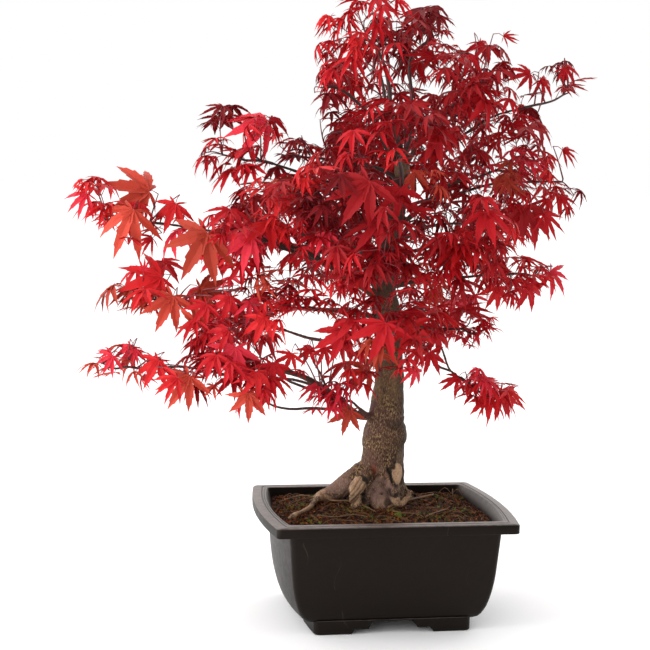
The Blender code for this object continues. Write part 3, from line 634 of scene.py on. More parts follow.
pick = random.Random("rootlets")
routes = [(list(rows), thick, thin) for rows, thick, thin in ROOTLETS]
for _ in range(STRAY_ROOTLETS):
    x, y = pick.uniform(-88, 88), pick.uniform(-62, 62)
    heading = pick.uniform(0, math.tau)
    rows = []
    step = pick.uniform(4, 9)
    for k in range(4):
        rows.append((x, y, 0.4 + pick.uniform(0, 2.2) * (k in (1, 2))))
        heading += pick.uniform(-0.7, 0.7)
        x, y = x + math.cos(heading) * step, y + math.sin(heading) * step
    if all(abs(a) < 91 and abs(b) < 66 for a, b, _ in rows):
        routes.append((rows, pick.uniform(0.25, 0.45), 0.2))
shapes = []
for rows, thick, thin in routes:
    path = [Vector((x * MM, y * MM, soil_height(x * MM, y * MM) + (0.6 + up) * MM)) for x, y, up in rows]
    radii = [(thick + (thin - thick) * i / (len(rows) - 1)) * MM for i in range(len(rows))]
    path, radii = eased(path, radii, 5 if thick > 0.5 else 3)
    shapes.append(shape_of(tube(path, radii, 6 if thick > 0.5 else 4)))
roots = joined("surface_roots", shapes, dry_root)


# ---------------------------------------------------------------- the trunk, roots and boughs
# One skin of bark over all the old wood. The trunk swells at an old graft, spreads into fluted roots at the
# soil and tapers to the fork at its top. A bough leaves it wherever one is named below.

TRUNK = (  # (height, x, y, radius) in mm
    (86, 6, 27, 22),
    (108, 6, 25, 19.5),
    (134, 5.5, 23, 19.0),
    (163, 6, 20, 17.6),
    (188, 7, 18, 13.8),
    (222, 8, 15, 12.3),
    (258, 7, 14, 11.5),
    (296, 0, 13, 10.4),
    (338, 5, 15, 9.2),
    (378, 14, 16, 8.0),
    (414, 13, 14, 6.2),
)
TRUNK_STEPS = 2
ROOT_STEPS = 4
ROOTS = {  # degrees from +X, reach, radii at the trunk and the end, start height
    "left": (178, 56, 15, 6, 124),
    "left_front": (222, 34, 9, 6.5, 116),
    "front": (257, 21, 12.5, 9.5, 116),
    "right": (2, 25, 10, 5, 120),
    "back": (80, 34, 11, 6, 118),
    "back_left": (126, 38, 11, 5, 118),
}
CROWN = {  # carried by, from where, degrees, reach, height, radius, half height, bough radius, arch
    "left_bottom": ("trunk", 176, 197, 142, 233, 58, 48, 4.8, -0.11),
    "left_bottom_tip": ("left_bottom", 0.50, 188, 234, 226, 40, 36, 1.9, 0.10),
    "left_bottom_inner": ("left_bottom", 0.16, 212, 56, 200, 36, 36, 2.0, 0.12),
    "left_low": ("trunk", 262, 183, 203, 280, 56, 47, 3.0, 0.05),
    "left_mid": ("trunk", 280, 204, 140, 343, 54, 46, 4.4, 0.06),
    "left_tip": ("left_mid", 0.55, 186, 229, 352, 60, 47, 2.4, 0.10),
    "left_high": ("trunk", 350, 185, 130, 409, 54, 46, 3.2, 0.10),
    "left_high_inner": ("trunk", 384, 172, 62, 404, 50, 46, None, 0.20),
    "left_inner": ("trunk", 243, 222, 108, 284, 50, 44, 2.6, 0.08),
    "left_back": ("trunk", 310, 138, 115, 342, 60, 52, 3.4, 0.15),
    "left_back_low": ("trunk", 216, 143, 128, 253, 56, 46, 3.4, 0.12),
    "back_high": ("trunk", 365, 82, 92, 408, 58, 50, 2.8, 0.18),
    "back_mid": ("trunk", 268, 96, 108, 318, 54, 48, 3.0, 0.15),
    "back_low": ("trunk", 226, 62, 104, 262, 56, 46, 3.2, 0.12),
    "right_back": ("trunk", 328, 38, 134, 352, 60, 52, 3.4, 0.12),
    "right_low": ("trunk", 292, 353, 120, 308, 54, 47, 3.2, 0.10),
    "right_lower": ("trunk", 254, 338, 74, 258, 46, 40, 2.8, 0.12),
    "right_hanging": ("right_lower", 0.62, 345, 86, 196, 42, 36, 1.7, 0.30),
    "right_mid": ("trunk", 343, 345, 96, 404, 52, 46, 3.0, 0.12),
    "right_tip": ("trunk", 360, 4, 152, 392, 42, 42, 2.4, 0.10),
    "right_front": ("trunk", 316, 294, 100, 338, 52, 46, 2.8, 0.12),
    "front_mid": ("trunk", 303, 258, 122, 326, 52, 46, 2.8, 0.12),
    "front_low": ("trunk", 240, 264, 86, 258, 48, 42, None, 0.15),
    "front_left": ("trunk", 323, 232, 118, 364, 52, 46, 2.8, 0.15),
    "front_high": ("trunk", 380, 266, 88, 408, 54, 47, None, 0.20),
    "top_right": ("trunk", 392, 322, 68, 468, 50, 46, 2.6, 0.28),
    "top_right_tip": ("trunk", 384, 358, 144, 466, 46, 42, 2.2, 0.15),
    "top_right_back": ("trunk", 396, 40, 96, 452, 52, 46, 2.4, 0.22),
    "apex_left": ("trunk", 395, 190, 48, 464, 46, 46, None, 0.30),
    "apex_front": ("trunk", 412, 222, 32, 504, 46, 42, None, 0.28),
    "apex_right": ("trunk", 402, 14, 34, 507, 46, 42, None, 0.28),
    "apex_back": ("trunk", 398, 92, 56, 486, 50, 46, None, 0.28),
}
BOUGH_STEPS = 4
BOUGH_TAPER = 0.45
BOUGH_WAVE = 0.02
BOUGH_ENTERS = 0.50
STEM_THICK = 2.4 * MM
TWIG_THICK = 1.1 * MM


def bezier(start, lift, ease, finish, count):
    points = []
    for i in range(count):
        t = i / (count - 1)
        s = 1 - t
        points.append(start * s**3 + lift * (3 * s * s * t) + ease * (3 * s * t * t) + finish * t**3)
    return points


def around(degrees, reach):
    """The level vector of that length, degrees round from +X."""
    angle = math.radians(degrees)
    return Vector((math.cos(angle), math.sin(angle), 0)) * reach


def trunk_rows(steps=TRUNK_STEPS):
    rows = [between(TRUNK, i, k / steps) for i in range(len(TRUNK) - 1) for k in range(steps)]
    return rows + [TRUNK[-1]]


def trunk_ring(height):
    """The trunk's middle point and radius at a height in millimetres."""
    rows = trunk_rows()
    for low, high in zip(rows, rows[1:]):
        if height <= high[0]:
            break
    t = (height - low[0]) / (high[0] - low[0])
    z, x, y, radius = (a + (b - a) * t for a, b in zip(low, high))
    return Vector((x, y, z)) * MM, radius * MM


def root_path(row):
    degrees, reach, _, thin, start = row
    foot, _ = trunk_ring(TRUNK[0][0])
    top, _ = trunk_ring(start)
    end = Vector((foot.x, foot.y, SOIL_LEVEL + thin * 0.3 * MM)) + around(degrees, reach * MM)
    drop = UP * (top.z - end.z)
    shoulder = top + around(degrees, 0.40 * reach * MM) - drop * 0.10
    ankle = end - around(degrees, 0.34 * reach * MM) + drop * 0.18
    return bezier(top, shoulder, ankle, end, ROOT_STEPS + 1)


class Limb:
    """One bough, or a stem straight from the trunk: its path, its radii, and the leaves' room at its end."""

    def __init__(self, name, row, grown):
        parent, leaves_at, degrees, reach, height, radius, half, thick, arch = row
        self.name = name
        self.is_bough = thick is not None
        self.degrees = degrees
        self.reach = reach
        self.spread = Vector((radius, radius, half)) * MM
        axis = trunk_ring(300)[0]
        self.middle = Vector((axis.x, axis.y, height * MM)) + around(degrees, reach * MM)
        start = trunk_ring(leaves_at)[0] if parent == "trunk" else grown[parent].at(leaves_at)
        towards = self.middle - start
        if self.is_bough:
            tip = self.middle - towards.normalized() * self.spread.x * BOUGH_ENTERS
            thick = thick * MM
            thin = max(thick * BOUGH_TAPER, 1.3 * MM)
        else:
            tip = self.middle
            thick, thin = STEM_THICK, TWIG_THICK
        span = (tip - start).length
        rise = UP * span * arch
        flat = around(degrees, span * 0.30)
        self.path = bezier(start, start + flat * 0.8 + rise, tip - flat - rise * 0.2, tip, BOUGH_STEPS + 1)
        self.radii = [thick + (thin - thick) * (i / BOUGH_STEPS) ** 0.8 for i in range(BOUGH_STEPS + 1)]
        pick = random.Random("bough " + name)
        for i in range(1, BOUGH_STEPS):
            stray = Vector([pick.uniform(-1, 1) for _ in range(3)])
            self.path[i] += stray * span * BOUGH_WAVE

    def at(self, share):
        place = share * BOUGH_STEPS
        i = min(int(place), BOUGH_STEPS - 1)
        return self.path[i].lerp(self.path[i + 1], place - i)


limbs = {}
for name, row in CROWN.items():
    limbs[name] = Limb(name, row, limbs)

# ---- the wood before its bark: tubes that overlap, to be fused, each from a run of points and radii
rows = trunk_rows(6)
runs = [([Vector((x, y, z)) * MM for z, x, y, _ in rows], [row[3] * MM for row in rows])]
for row in ROOTS.values():
    path = root_path(row)
    radii = [(row[2] + (row[3] - row[2]) * i / ROOT_STEPS) * MM for i in range(ROOT_STEPS + 1)]
    heading = (path[-1] - path[-2]).normalized()
    path.append(path[-1] + heading * 7 * MM - UP * 4 * MM)
    radii.append(radii[-1] * 0.75)
    runs.append(eased(path, radii, 4))
# (x, y, z, radius) in mm along the left root's long toe, a root bent back on itself and a barked root.
LATER_ROOTS = (
    (
        *((-38, 32, 103, 6.0), (-48, 28, 99.5, 4.2), (-57, 13, 97.5, 2.8), (-66, -6, 96.5, 2.1)),
        *((-75, -18, 96, 1.8), (-82, -29, 96.5, 2.3), (-86, -36, 96, 2.6), (-88, -39, 95.5, 1.8)),
    ),
    (
        *((14, 16, 134, 6.0), (13, 8, 124, 6.8), (10, 0, 115, 5.6), (10.5, -7, 107, 4.6)),
        *((13, -12, 100, 3.1), (17.5, -11.5, 100.5, 2.7), (22.5, -8, 105, 2.5), (27, -5, 110, 2.2)),
    ),
    (
        *((-9, 9, 127, 4.0), (-14, 5, 122, 5.6), (-19, 2, 117, 6.2)),
        *((-24, -1, 111, 5.8), (-26, -2, 106, 3.8), (-26, 2, 99, 2.2)),
    ),
)
for rows in LATER_ROOTS:
    path, radii = [Vector(row[:3]) * MM for row in rows], [row[3] * MM for row in rows]
    runs.append(eased(path, radii, 5))
runs += [eased(limb.path, limb.radii, 6) for limb in limbs.values() if limb.is_bough]
wood = [shape_of(tube(path, radii, 18 if radii[0] > 5 * MM else 12)) for path, radii in runs]

# Bark of a young maple: fine, grey-brown and fissured lengthwise on the trunk, purple-brown and smooth on
# what grew last. Patches have flaked off to pale tan wood along dark cracks.
bark, tree, shader = new_material("maple_bark_living", specular=0.3)
spot = node(tree, "TexCoord").outputs["Object"]
stretched = node(tree, "Mapping", {"Vector": spot, "Scale": (1, 1, 0.45)})
grain_at = stretched.outputs["Vector"]
fissure = node(
    tree, "TexNoise", {"Vector": grain_at, "Scale": 1 / (1.1 * MM), "Detail": 4.0, "Roughness": 0.7}
)
plates = node(
    tree, "TexNoise", {"Vector": grain_at, "Scale": 1 / (8.5 * MM), "Detail": 4.0, "Roughness": 0.6}
)
wide = node(tree, "TexNoise", {"Vector": spot, "Scale": 1 / (24 * MM), "Detail": 3.0})
crack_to_crest = ((0.38, "#110a06"), (0.46, "#332315"), (0.54, "#66492f"), (0.63, "#b4976c"))
old = node(tree, "ValToRGB", {"Fac": fissure}, crack_to_crest)
warmth = node(tree, "MapRange", {"Value": wide, "From Min": 0.4, "From Max": 0.62, "To Max": 0.45})
warm = node(tree, "Mix", {"Factor": warmth, "A": old, "B": linear("#5d4032")}, data_type="RGBA")
MARKS = ("young", "smooth", "flaked", "cracked", "flushed", "scarred", "shaded")
masks = {name: node(tree, "Attribute", attribute_name=name).outputs["Fac"] for name in MARKS}
worn = node(tree, "Mix", {"Factor": 0.5, "A": plates, "B": fissure}, data_type="FLOAT")
tan = node(tree, "ValToRGB", {"Fac": worn}, ((0.38, "#7c5d43"), (0.62, "#c4a382")))
young_browns = {"Factor": plates, "A": linear("#2c1a1b"), "B": linear("#6d4a40")}
young = node(tree, "Mix", young_browns, data_type="RGBA")
even = node(tree, "ValToRGB", {"Fac": worn}, ((0.36, "#2b2016"), (0.64, "#7c6040")))
flush = node(tree, "Mix", {"Factor": worn, "A": linear("#49322d"), "B": linear("#a08073")}, data_type="RGBA")
colour = warm
# The flaked and flushed marks are the bark's own colours and also painted light on the middle root; the
# shaded mark is painted shade.
for mask, over in (
    ("smooth", even),
    ("young", young),
    ("flushed", flush),
    ("flaked", tan),
    ("scarred", linear("#7a3a2c")),
    ("shaded", linear("#2a1d15")),
    ("cracked", linear("#150e0a")),
):
    colour = node(tree, "Mix", {"Factor": masks[mask], "A": colour, "B": over}, data_type="RGBA")
rough = node(tree, "MapRange", {"Value": fissure, "To Min": 0.95, "To Max": 0.62})
relief = node(tree, "Bump", {"Height": fissure, "Strength": 0.75, "Distance": 0.8 * MM})
feed(tree, shader, {"Base Color": colour, "Roughness": rough, "Normal": relief})

BARK_VOXEL = 1.02 * MM  # as fine as the limit on a piece's triangles lets the bark be
tree_bark = joined("bark", wood, bark)
remade(tree_bark, "REMESH", mode="VOXEL", voxel_size=BARK_VOXEL)
fused = tree_bark.data

bm = bmesh.new()
bm.from_mesh(fused)
whole = bm.verts[:] + bm.edges[:] + bm.faces[:]
below = SOIL_LEVEL - 5 * MM
bmesh.ops.bisect_plane(bm, geom=whole, plane_co=(0, 0, below), plane_no=(0, 0, -1), clear_outer=True)
bmesh.ops.edgeloop_fill(bm, edges=[e for e in bm.edges if e.is_boundary])
for _ in range(2):
    bmesh.ops.smooth_vert(bm, verts=bm.verts, factor=0.5, use_axis_x=True, use_axis_y=True, use_axis_z=True)
bm.normal_update()

# ---- the skin's relief and marks, worked out in mm from the pot's middle and from the wood under each point
run_points = KDTree(sum(len(path) for path, _ in runs))
run_radii = []
for path, radii in runs:
    for point, radius in zip(path, radii):
        run_points.insert(point, len(run_radii))
        run_radii.append(radius)
run_points.balance()


def clamp(value):
    return max(0.0, min(1.0, value))


RAGGED, SOFT = 0.25, 0.3  # how far most patches' edges stray and how wide they are, as shares of a patch
PATCHES = {  # of each mark: middle and reach in mm, how ragged, how soft and how strong
    "flaked": (
        ((17, 3, 122), (8.5, 14, 11), 0.3, SOFT, 1.0),
        ((20, 8, 136), (7, 12, 8), 0.4, SOFT, 0.55),
        ((18, -9, 103), (11, 8, 7), RAGGED, SOFT, 0.7),
        # painted light: this pale patch lifts the middle root, which stands in the lamps' shadow
        ((0, -8, 102), (10, 9, 12), 0.6, 0.7, 0.45),
        ((-74, -16, 96), (18, 24, 8), RAGGED, SOFT, 0.75),
        ((12, 12, 396), (9, 9, 7), RAGGED, SOFT, 1.0),
        ((-50, 26, 99), (9, 10, 6), 0.5, SOFT, 0.7),
    ),
    "shaded": (
        ((14, 6, 169), (12, 18, 6.5), 0.8, 0.7, 0.7),
        ((22, 12, 182), (5, 14, 14), 0.9, 0.7, 0.6),
        ((6, -2, 99), (3, 10, 4), RAGGED, SOFT, 0.6),
        ((19, 0, 108), (3.5, 5, 3.5), RAGGED, SOFT, 0.8),
        ((25, 14, 122), (4, 10, 14), 0.5, SOFT, 0.6),
    ),
    "flushed": (
        # partly painted light: the middle root's flush is made strong and wide to lift it out of the lamps'
        # shadow
        ((-1, -2, 110), (12, 14, 20), 0.6, 0.6, 0.95),
        ((-38, 26, 110), (24, 26, 14), 0.5, 0.6, 0.65),
        ((18, 0, 112), (9, 14, 9), 0.5, 0.6, 0.6),
    ),
}
PATCH_ENDS = 1.8  # times its reach, past which no patch strays


def blob(point, centre, sizes, ragged=RAGGED, soft=SOFT, strength=1.0):
    """The strength inside a ragged patch on the bark, and 0 outside it."""
    if abs(point.z - centre[2]) > sizes[2] * PATCH_ENDS:
        return 0.0
    away = Vector([(a - b) / s for a, b, s in zip(point, centre, sizes)]).length
    away += noise.noise(point / 5.0) * ragged
    return clamp((1.15 - away) / soft) * strength


marks = {name: [] for name in MARKS}
moves = []
for corner in bm.verts:
    place = corner.co - POT_MIDDLE
    p = place / MM
    _, index, _ = run_points.find(place)
    radius = run_radii[index] / MM
    shape = min(1.0, radius / 9)
    ridges = abs(noise.noise(Vector((p.x / 5, p.y / 5, p.z / 17)))) * 1.1
    lumps = noise.noise(p / 9) * 0.9 + noise.noise(p / 3.1) * 0.35
    knob = blob(p, (-22, -2, 112), (9.5, 10, 14))
    across = (p.x + 21) * 0.8 - (p.z - 114) * 0.6
    ribs = knob * max(0.0, math.cos(math.tau * across / 3.4)) ** 2
    split = blob(p, (8.5 - 0.2 * (p.z - 121), 4, 121.5), (1.3, 14, 8.5), 0.2)
    flaked, shaded, flushed = (max(blob(p, *row) for row in rows) for rows in PATCHES.values())
    flaked = max(flaked, knob)
    edge = min(1.0, 7 * flaked * (1 - flaked))
    rim = edge * (1.0 if p.x < 15 else 0.45) if p.z > 106 and p.x > -34 and p.z < 200 else 0.0
    hollow = blob(p, (-13, -2, 104), (5, 9, 7.5), 0.5, 0.5)
    turned = max(0.0, corner.normal.x) ** 1.3 if p.z > 112 and radius > 5 else 0.0
    shaded = max(shaded, hollow, turned * 0.85 * (1 - flaked), clamp((p.z - 252) / 36) * 0.6)
    scar = blob(p, (-5, 1, 126), (2.4, 12, 6.5), 0.5)
    marks["flaked"].append(flaked)
    marks["cracked"].append(min(1.0, max(rim * 0.9, split, ribs * 0.6)))
    marks["scarred"].append(scar * 0.8)
    marks["shaded"].append(shaded)
    marks["flushed"].append(flushed)
    marks["smooth"].append(0.75 * clamp((p.z + noise.noise(p / 9) * 9 - 178) / 16))
    marks["young"].append(clamp((6.0 - radius) / 4.0) if p.z > 130 else 0.0)
    fine = 0.4 + 0.6 * (1 - flaked) * (1 - 0.6 * marks["smooth"][-1])
    flare = 2.3 * max(0.0, corner.normal.x) / (1 + math.exp((p.z - 215) / 8))
    collar = 1.0 * math.exp(-(((p.z - 156) / 8) ** 2)) - 1.3 * math.exp(-(((p.z - 169) / 3.5) ** 2))
    raised = shape * (lumps + (ridges - 0.3) * fine + collar + flare)
    sunk = rim * 1.1 + scar * 0.7 + hollow * 4 + ribs * 0.8 + split * 1.3 + 0.25
    moves.append(corner.normal * (raised - sunk) * MM)
for corner, move in zip(bm.verts, moves):
    corner.co += move
bmesh.ops.recalc_face_normals(bm, faces=bm.faces)
bm.to_mesh(fused)
bm.free()
for name, values in marks.items():
    mark = fused.attributes.new(name, "FLOAT", "POINT")
    mark.data.foreach_set("value", np.array(values, np.float32))
fused.materials.clear()
fused.materials.append(bark)
fused.shade_smooth()
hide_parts("trunk", *("bough_" + limb.name for limb in limbs.values() if limb.is_bough))


# ---------------------------------------------------------------- twigs and leaves
# Soft red leaves on thin stalks, in pairs along young shoots that leave each bough's stem for the skin of its
# mass. A shoot or leaf that has no room, would touch another or would close a gap is left out.

LEAF_LOBES = (  # degrees from the middle lobe, length and breadth against it
    (0, 1.0, 1.0),
    (38, 0.94, 0.96),
    (-38, 0.94, 0.96),
    (79, 0.78, 0.86),
    (-79, 0.78, 0.86),
    (124, 0.44, 0.66),
    (-124, 0.44, 0.66),
)


def leaf_shape(pick, breadth, sag, fold, gather, teeth):
    """A leaf that lies along +X with its face up, from its middle lobe's base: seven toothed, folded lobes.

    sag is how far a lobe's tip hangs, fold how steeply its halves rise from the rib, gather how far the lobes
    close up towards the middle one, and teeth how many points each side of a lobe has.
    """
    bm = bmesh.new()
    for degrees, length, broad in LEAF_LOBES:
        length *= pick.uniform(0.90, 1.06)
        half = breadth * broad * length / 2
        angle = math.radians(degrees * (1 - gather) + pick.uniform(-5, 5))
        hang = sag * pick.uniform(0.7, 1.3) * (0.8 + 0.5 * abs(degrees) / 120)
        curl = pick.uniform(-0.10, 0.10)
        points = teeth if abs(degrees) < 100 else teeth - 1

        def place(along, across):
            run = length * (along - 0.16 * hang * along**3)
            drop = hang * length * (along**1.9)
            across += curl * length * along * along
            flat = Vector((math.cos(angle), math.sin(angle), 0)) * run
            flat += Vector((-math.sin(angle), math.cos(angle), 0)) * across
            return bm.verts.new((flat.x, flat.y, -drop + abs(across) * fold))

        steps = [k / (points + 1) for k in range(points + 1)]
        rib = [place(t, 0) for t in steps + [1.0]]
        widths = [half * max(math.sin(math.pi * t**0.72) ** 1.2, 0.30 - t) for t in steps]
        for side in (1, -1):
            edge = [place(t, side * w) for t, w in zip(steps, widths)]
            for k in range(points):
                t0, t1, w0, w1 = steps[k], steps[k + 1], widths[k], widths[k + 1]
                tooth = place(t0 + (t1 - t0) * 0.88, side * ((w0 * 0.2 + w1 * 0.8) * 1.2 + half * 0.07))
                corners = [rib[k], edge[k], tooth, edge[k + 1], rib[k + 1]]
                bm.faces.new(corners if side < 0 else corners[::-1])
            corners = [rib[-2], edge[-1], rib[-1]]
            bm.faces.new(corners if side < 0 else corners[::-1])
    bmesh.ops.remove_doubles(bm, verts=bm.verts, dist=1e-4)
    return shape_of(bm)


pick = random.Random("leaf shapes")
LEAF_SHAPES = {
    "old": [leaf_shape(pick, 0.25, 0.14 + 0.12 * k, 0.45, -0.02, 4) for k in range(4)],
    "grown": [leaf_shape(pick, 0.23, 0.15 + 0.15 * k, 0.35, -0.02, 3) for k in range(5)],
    "hanging": [leaf_shape(pick, 0.19, 0.15 + 0.2 * k, 0.5, 0.06, 3) for k in range(5)],
    "new": [leaf_shape(pick, 0.15, 0.16 + 0.16 * k, 0.6, 0.30, 2) for k in range(4)],
}
LEAF_KINDS = {"grown": (26, 37), "hanging": (18, 29), "new": (12, 19)}  # the middle lobe's length in mm

# Living maple leaf: thin and soft, with a faint satin on its upper skin. New leaves are pink-red, the crown
# is crimson, and the oldest leaves along the left boughs have turned brick orange.
LEAF_TONES = {
    "crimson": "#ae121b",
    "deep": "#8e0d14",
    "scarlet": "#bf1c20",
    "wine": "#70080f",
    "rose": "#cc2a3a",
    "brick": "#bb4030",
    "russet": "#9c3222",
}
# Dealt by place, the tones also paint the light: the masses in the core, before the trunk and at the top lean
# to deep and wine as painted shade, and those on the left lean to scarlet and rose as painted light from the
# lamps on that side.
TONES_BY_PLACE = {  # weights in the order above
    "inner": (4, 5, 2, 4, 0.5, 0.2, 0.2),
    "high": (4, 5, 1, 2.5, 0, 0, 0),
    "front": (4.5, 5, 1, 3.5, 0.5, 0.2, 0.5),
    "outer": (5, 4, 2, 2, 0.5, 0, 0),
    "low": (4, 1, 5, 0, 3, 0.5, 0),
    "left": (4, 2, 5, 0, 3, 0.8, 0.2),
}
LEAF_ODDS = {  # grown, hanging and new leaves along a shoot, and then at its tip
    "inner": ((1.2, 6, 1), (0.5, 5, 3)),
    "high": ((0.4, 6, 1), (0.2, 4, 3)),
    "front": ((1.2, 6, 1), (0.5, 5, 3)),
    "outer": ((0.6, 6, 1), (0.2, 4, 3)),
    "low": ((1, 6, 1), (0.3, 4, 3)),
    "left": ((2, 5, 1), (0.7, 3, 3)),
}
OLD_TWIGS = {  # along a bough: where one leaves it, and the points that it goes through, in mm
    "left_bottom": (
        (0.30, ((-62, 4, 184), (-84, 0, 184), (-104, -4, 190), (-114, -6, 205))),
        (0.22, ((-48, 6, 200), (-56, 4, 214), (-64, 2, 226))),
        (0.45, ((-84, 2, 208), (-104, 2, 222))),
    ),
    "right_lower": ((0.50, ((48, 10, 224), (64, 8, 216), (76, 6, 206))),),
}
BARE_BOUGH = (0.35, 0.48, 0.6, 0.72, 0.84, 0.95)  # where a long bough bears leaves before its mass
GOLDEN_ANGLE = math.pi * (3 - math.sqrt(5))  # between the shoots of a mass, which spreads them evenly
SHOOT_AREA = 1.8e-3  # square metres of a mass's skin to each shoot, by the trunk
SHOOT_AREA_OUT = 1.6e-3  # and how much more for each 100 mm that the mass stands off beyond 90
SHOOT_AREA_HIGH = 0.3e-3  # and how much more in the masses above HIGH, which the sky shows through
HIGH, LOW = 440 * MM, 290 * MM
INNER_REACH = 110  # mm from the trunk's axis to a mass's middle, for a mass that shades the trunk
DENSER = 0.8  # the share of that area for a mass before the trunk or round it
THIN = {  # the share of its shoots that an open mass keeps
    "left_bottom_inner": 0.35,
    "left_bottom_tip": 0.1,
    "left_bottom": 0.6,
    "left_low": 0.25,
    "left_mid": 0.5,
    "left_tip": 0.4,
    "left_high": 0.42,
    "left_inner": 0.8,
    "right_mid": 0.55,
    "right_front": 0.7,
    "right_back": 0.72,
    "right_lower": 0.45,
    "right_hanging": 0.3,
    "right_low": 0.36,
    "right_tip": 0.3,
    "top_right_tip": 0.5,
    "top_right_back": 0.6,
}
# The gaps between boughs, as (x, z, half width, half height) in mm at the trunk, seen from before it.
OPEN_AIR = (
    (-86, 472, 19, 44),
    (-80, 444, 17, 22),
    (-82, 532, 21, 22),
    (-186, 416, 16, 43),
    (-262, 314, 28, 24),
    (-212, 315, 11, 8),
    (-218, 252, 35, 10),
    (-68, 252, 25, 13),
    (-247, 189, 36, 17),
    (-73, 159, 30, 15),
    (89, 531, 32, 23),
    (147, 514, 27, 16),
    (173, 451, 39, 15),
    (179, 330, 42, 22),
    (153, 242, 42, 32),
    (66, 225, 21, 11),
    (57, 175, 19, 22),
    (105, 148, 45, 17),
    (-84, 395, 10, 5),
    (-132, 419, 6, 5),
    (-110, 405, 10, 6),
    (29, 380, 6, 7),
    (-56, 346, 3, 3),
    (27, 333, 6, 4),
    (50, 345, 5, 5),
    (-20, 428, 4, 2),
    (-88, 329, 3, 3),
    (-15, 317, 5, 3),
    (-50, 311, 6, 3),
    (-24, 400, 3, 2),
    (62, 346, 7, 4),
    (69, 517, 9, 15),
    (-65, 425, 12, 8),
    (-246, 392, 15, 9),
    (-275, 232, 18, 17),
    (-252, 288, 8, 15),
    (173, 393, 12, 8),
    (107, 226, 20, 12),
)
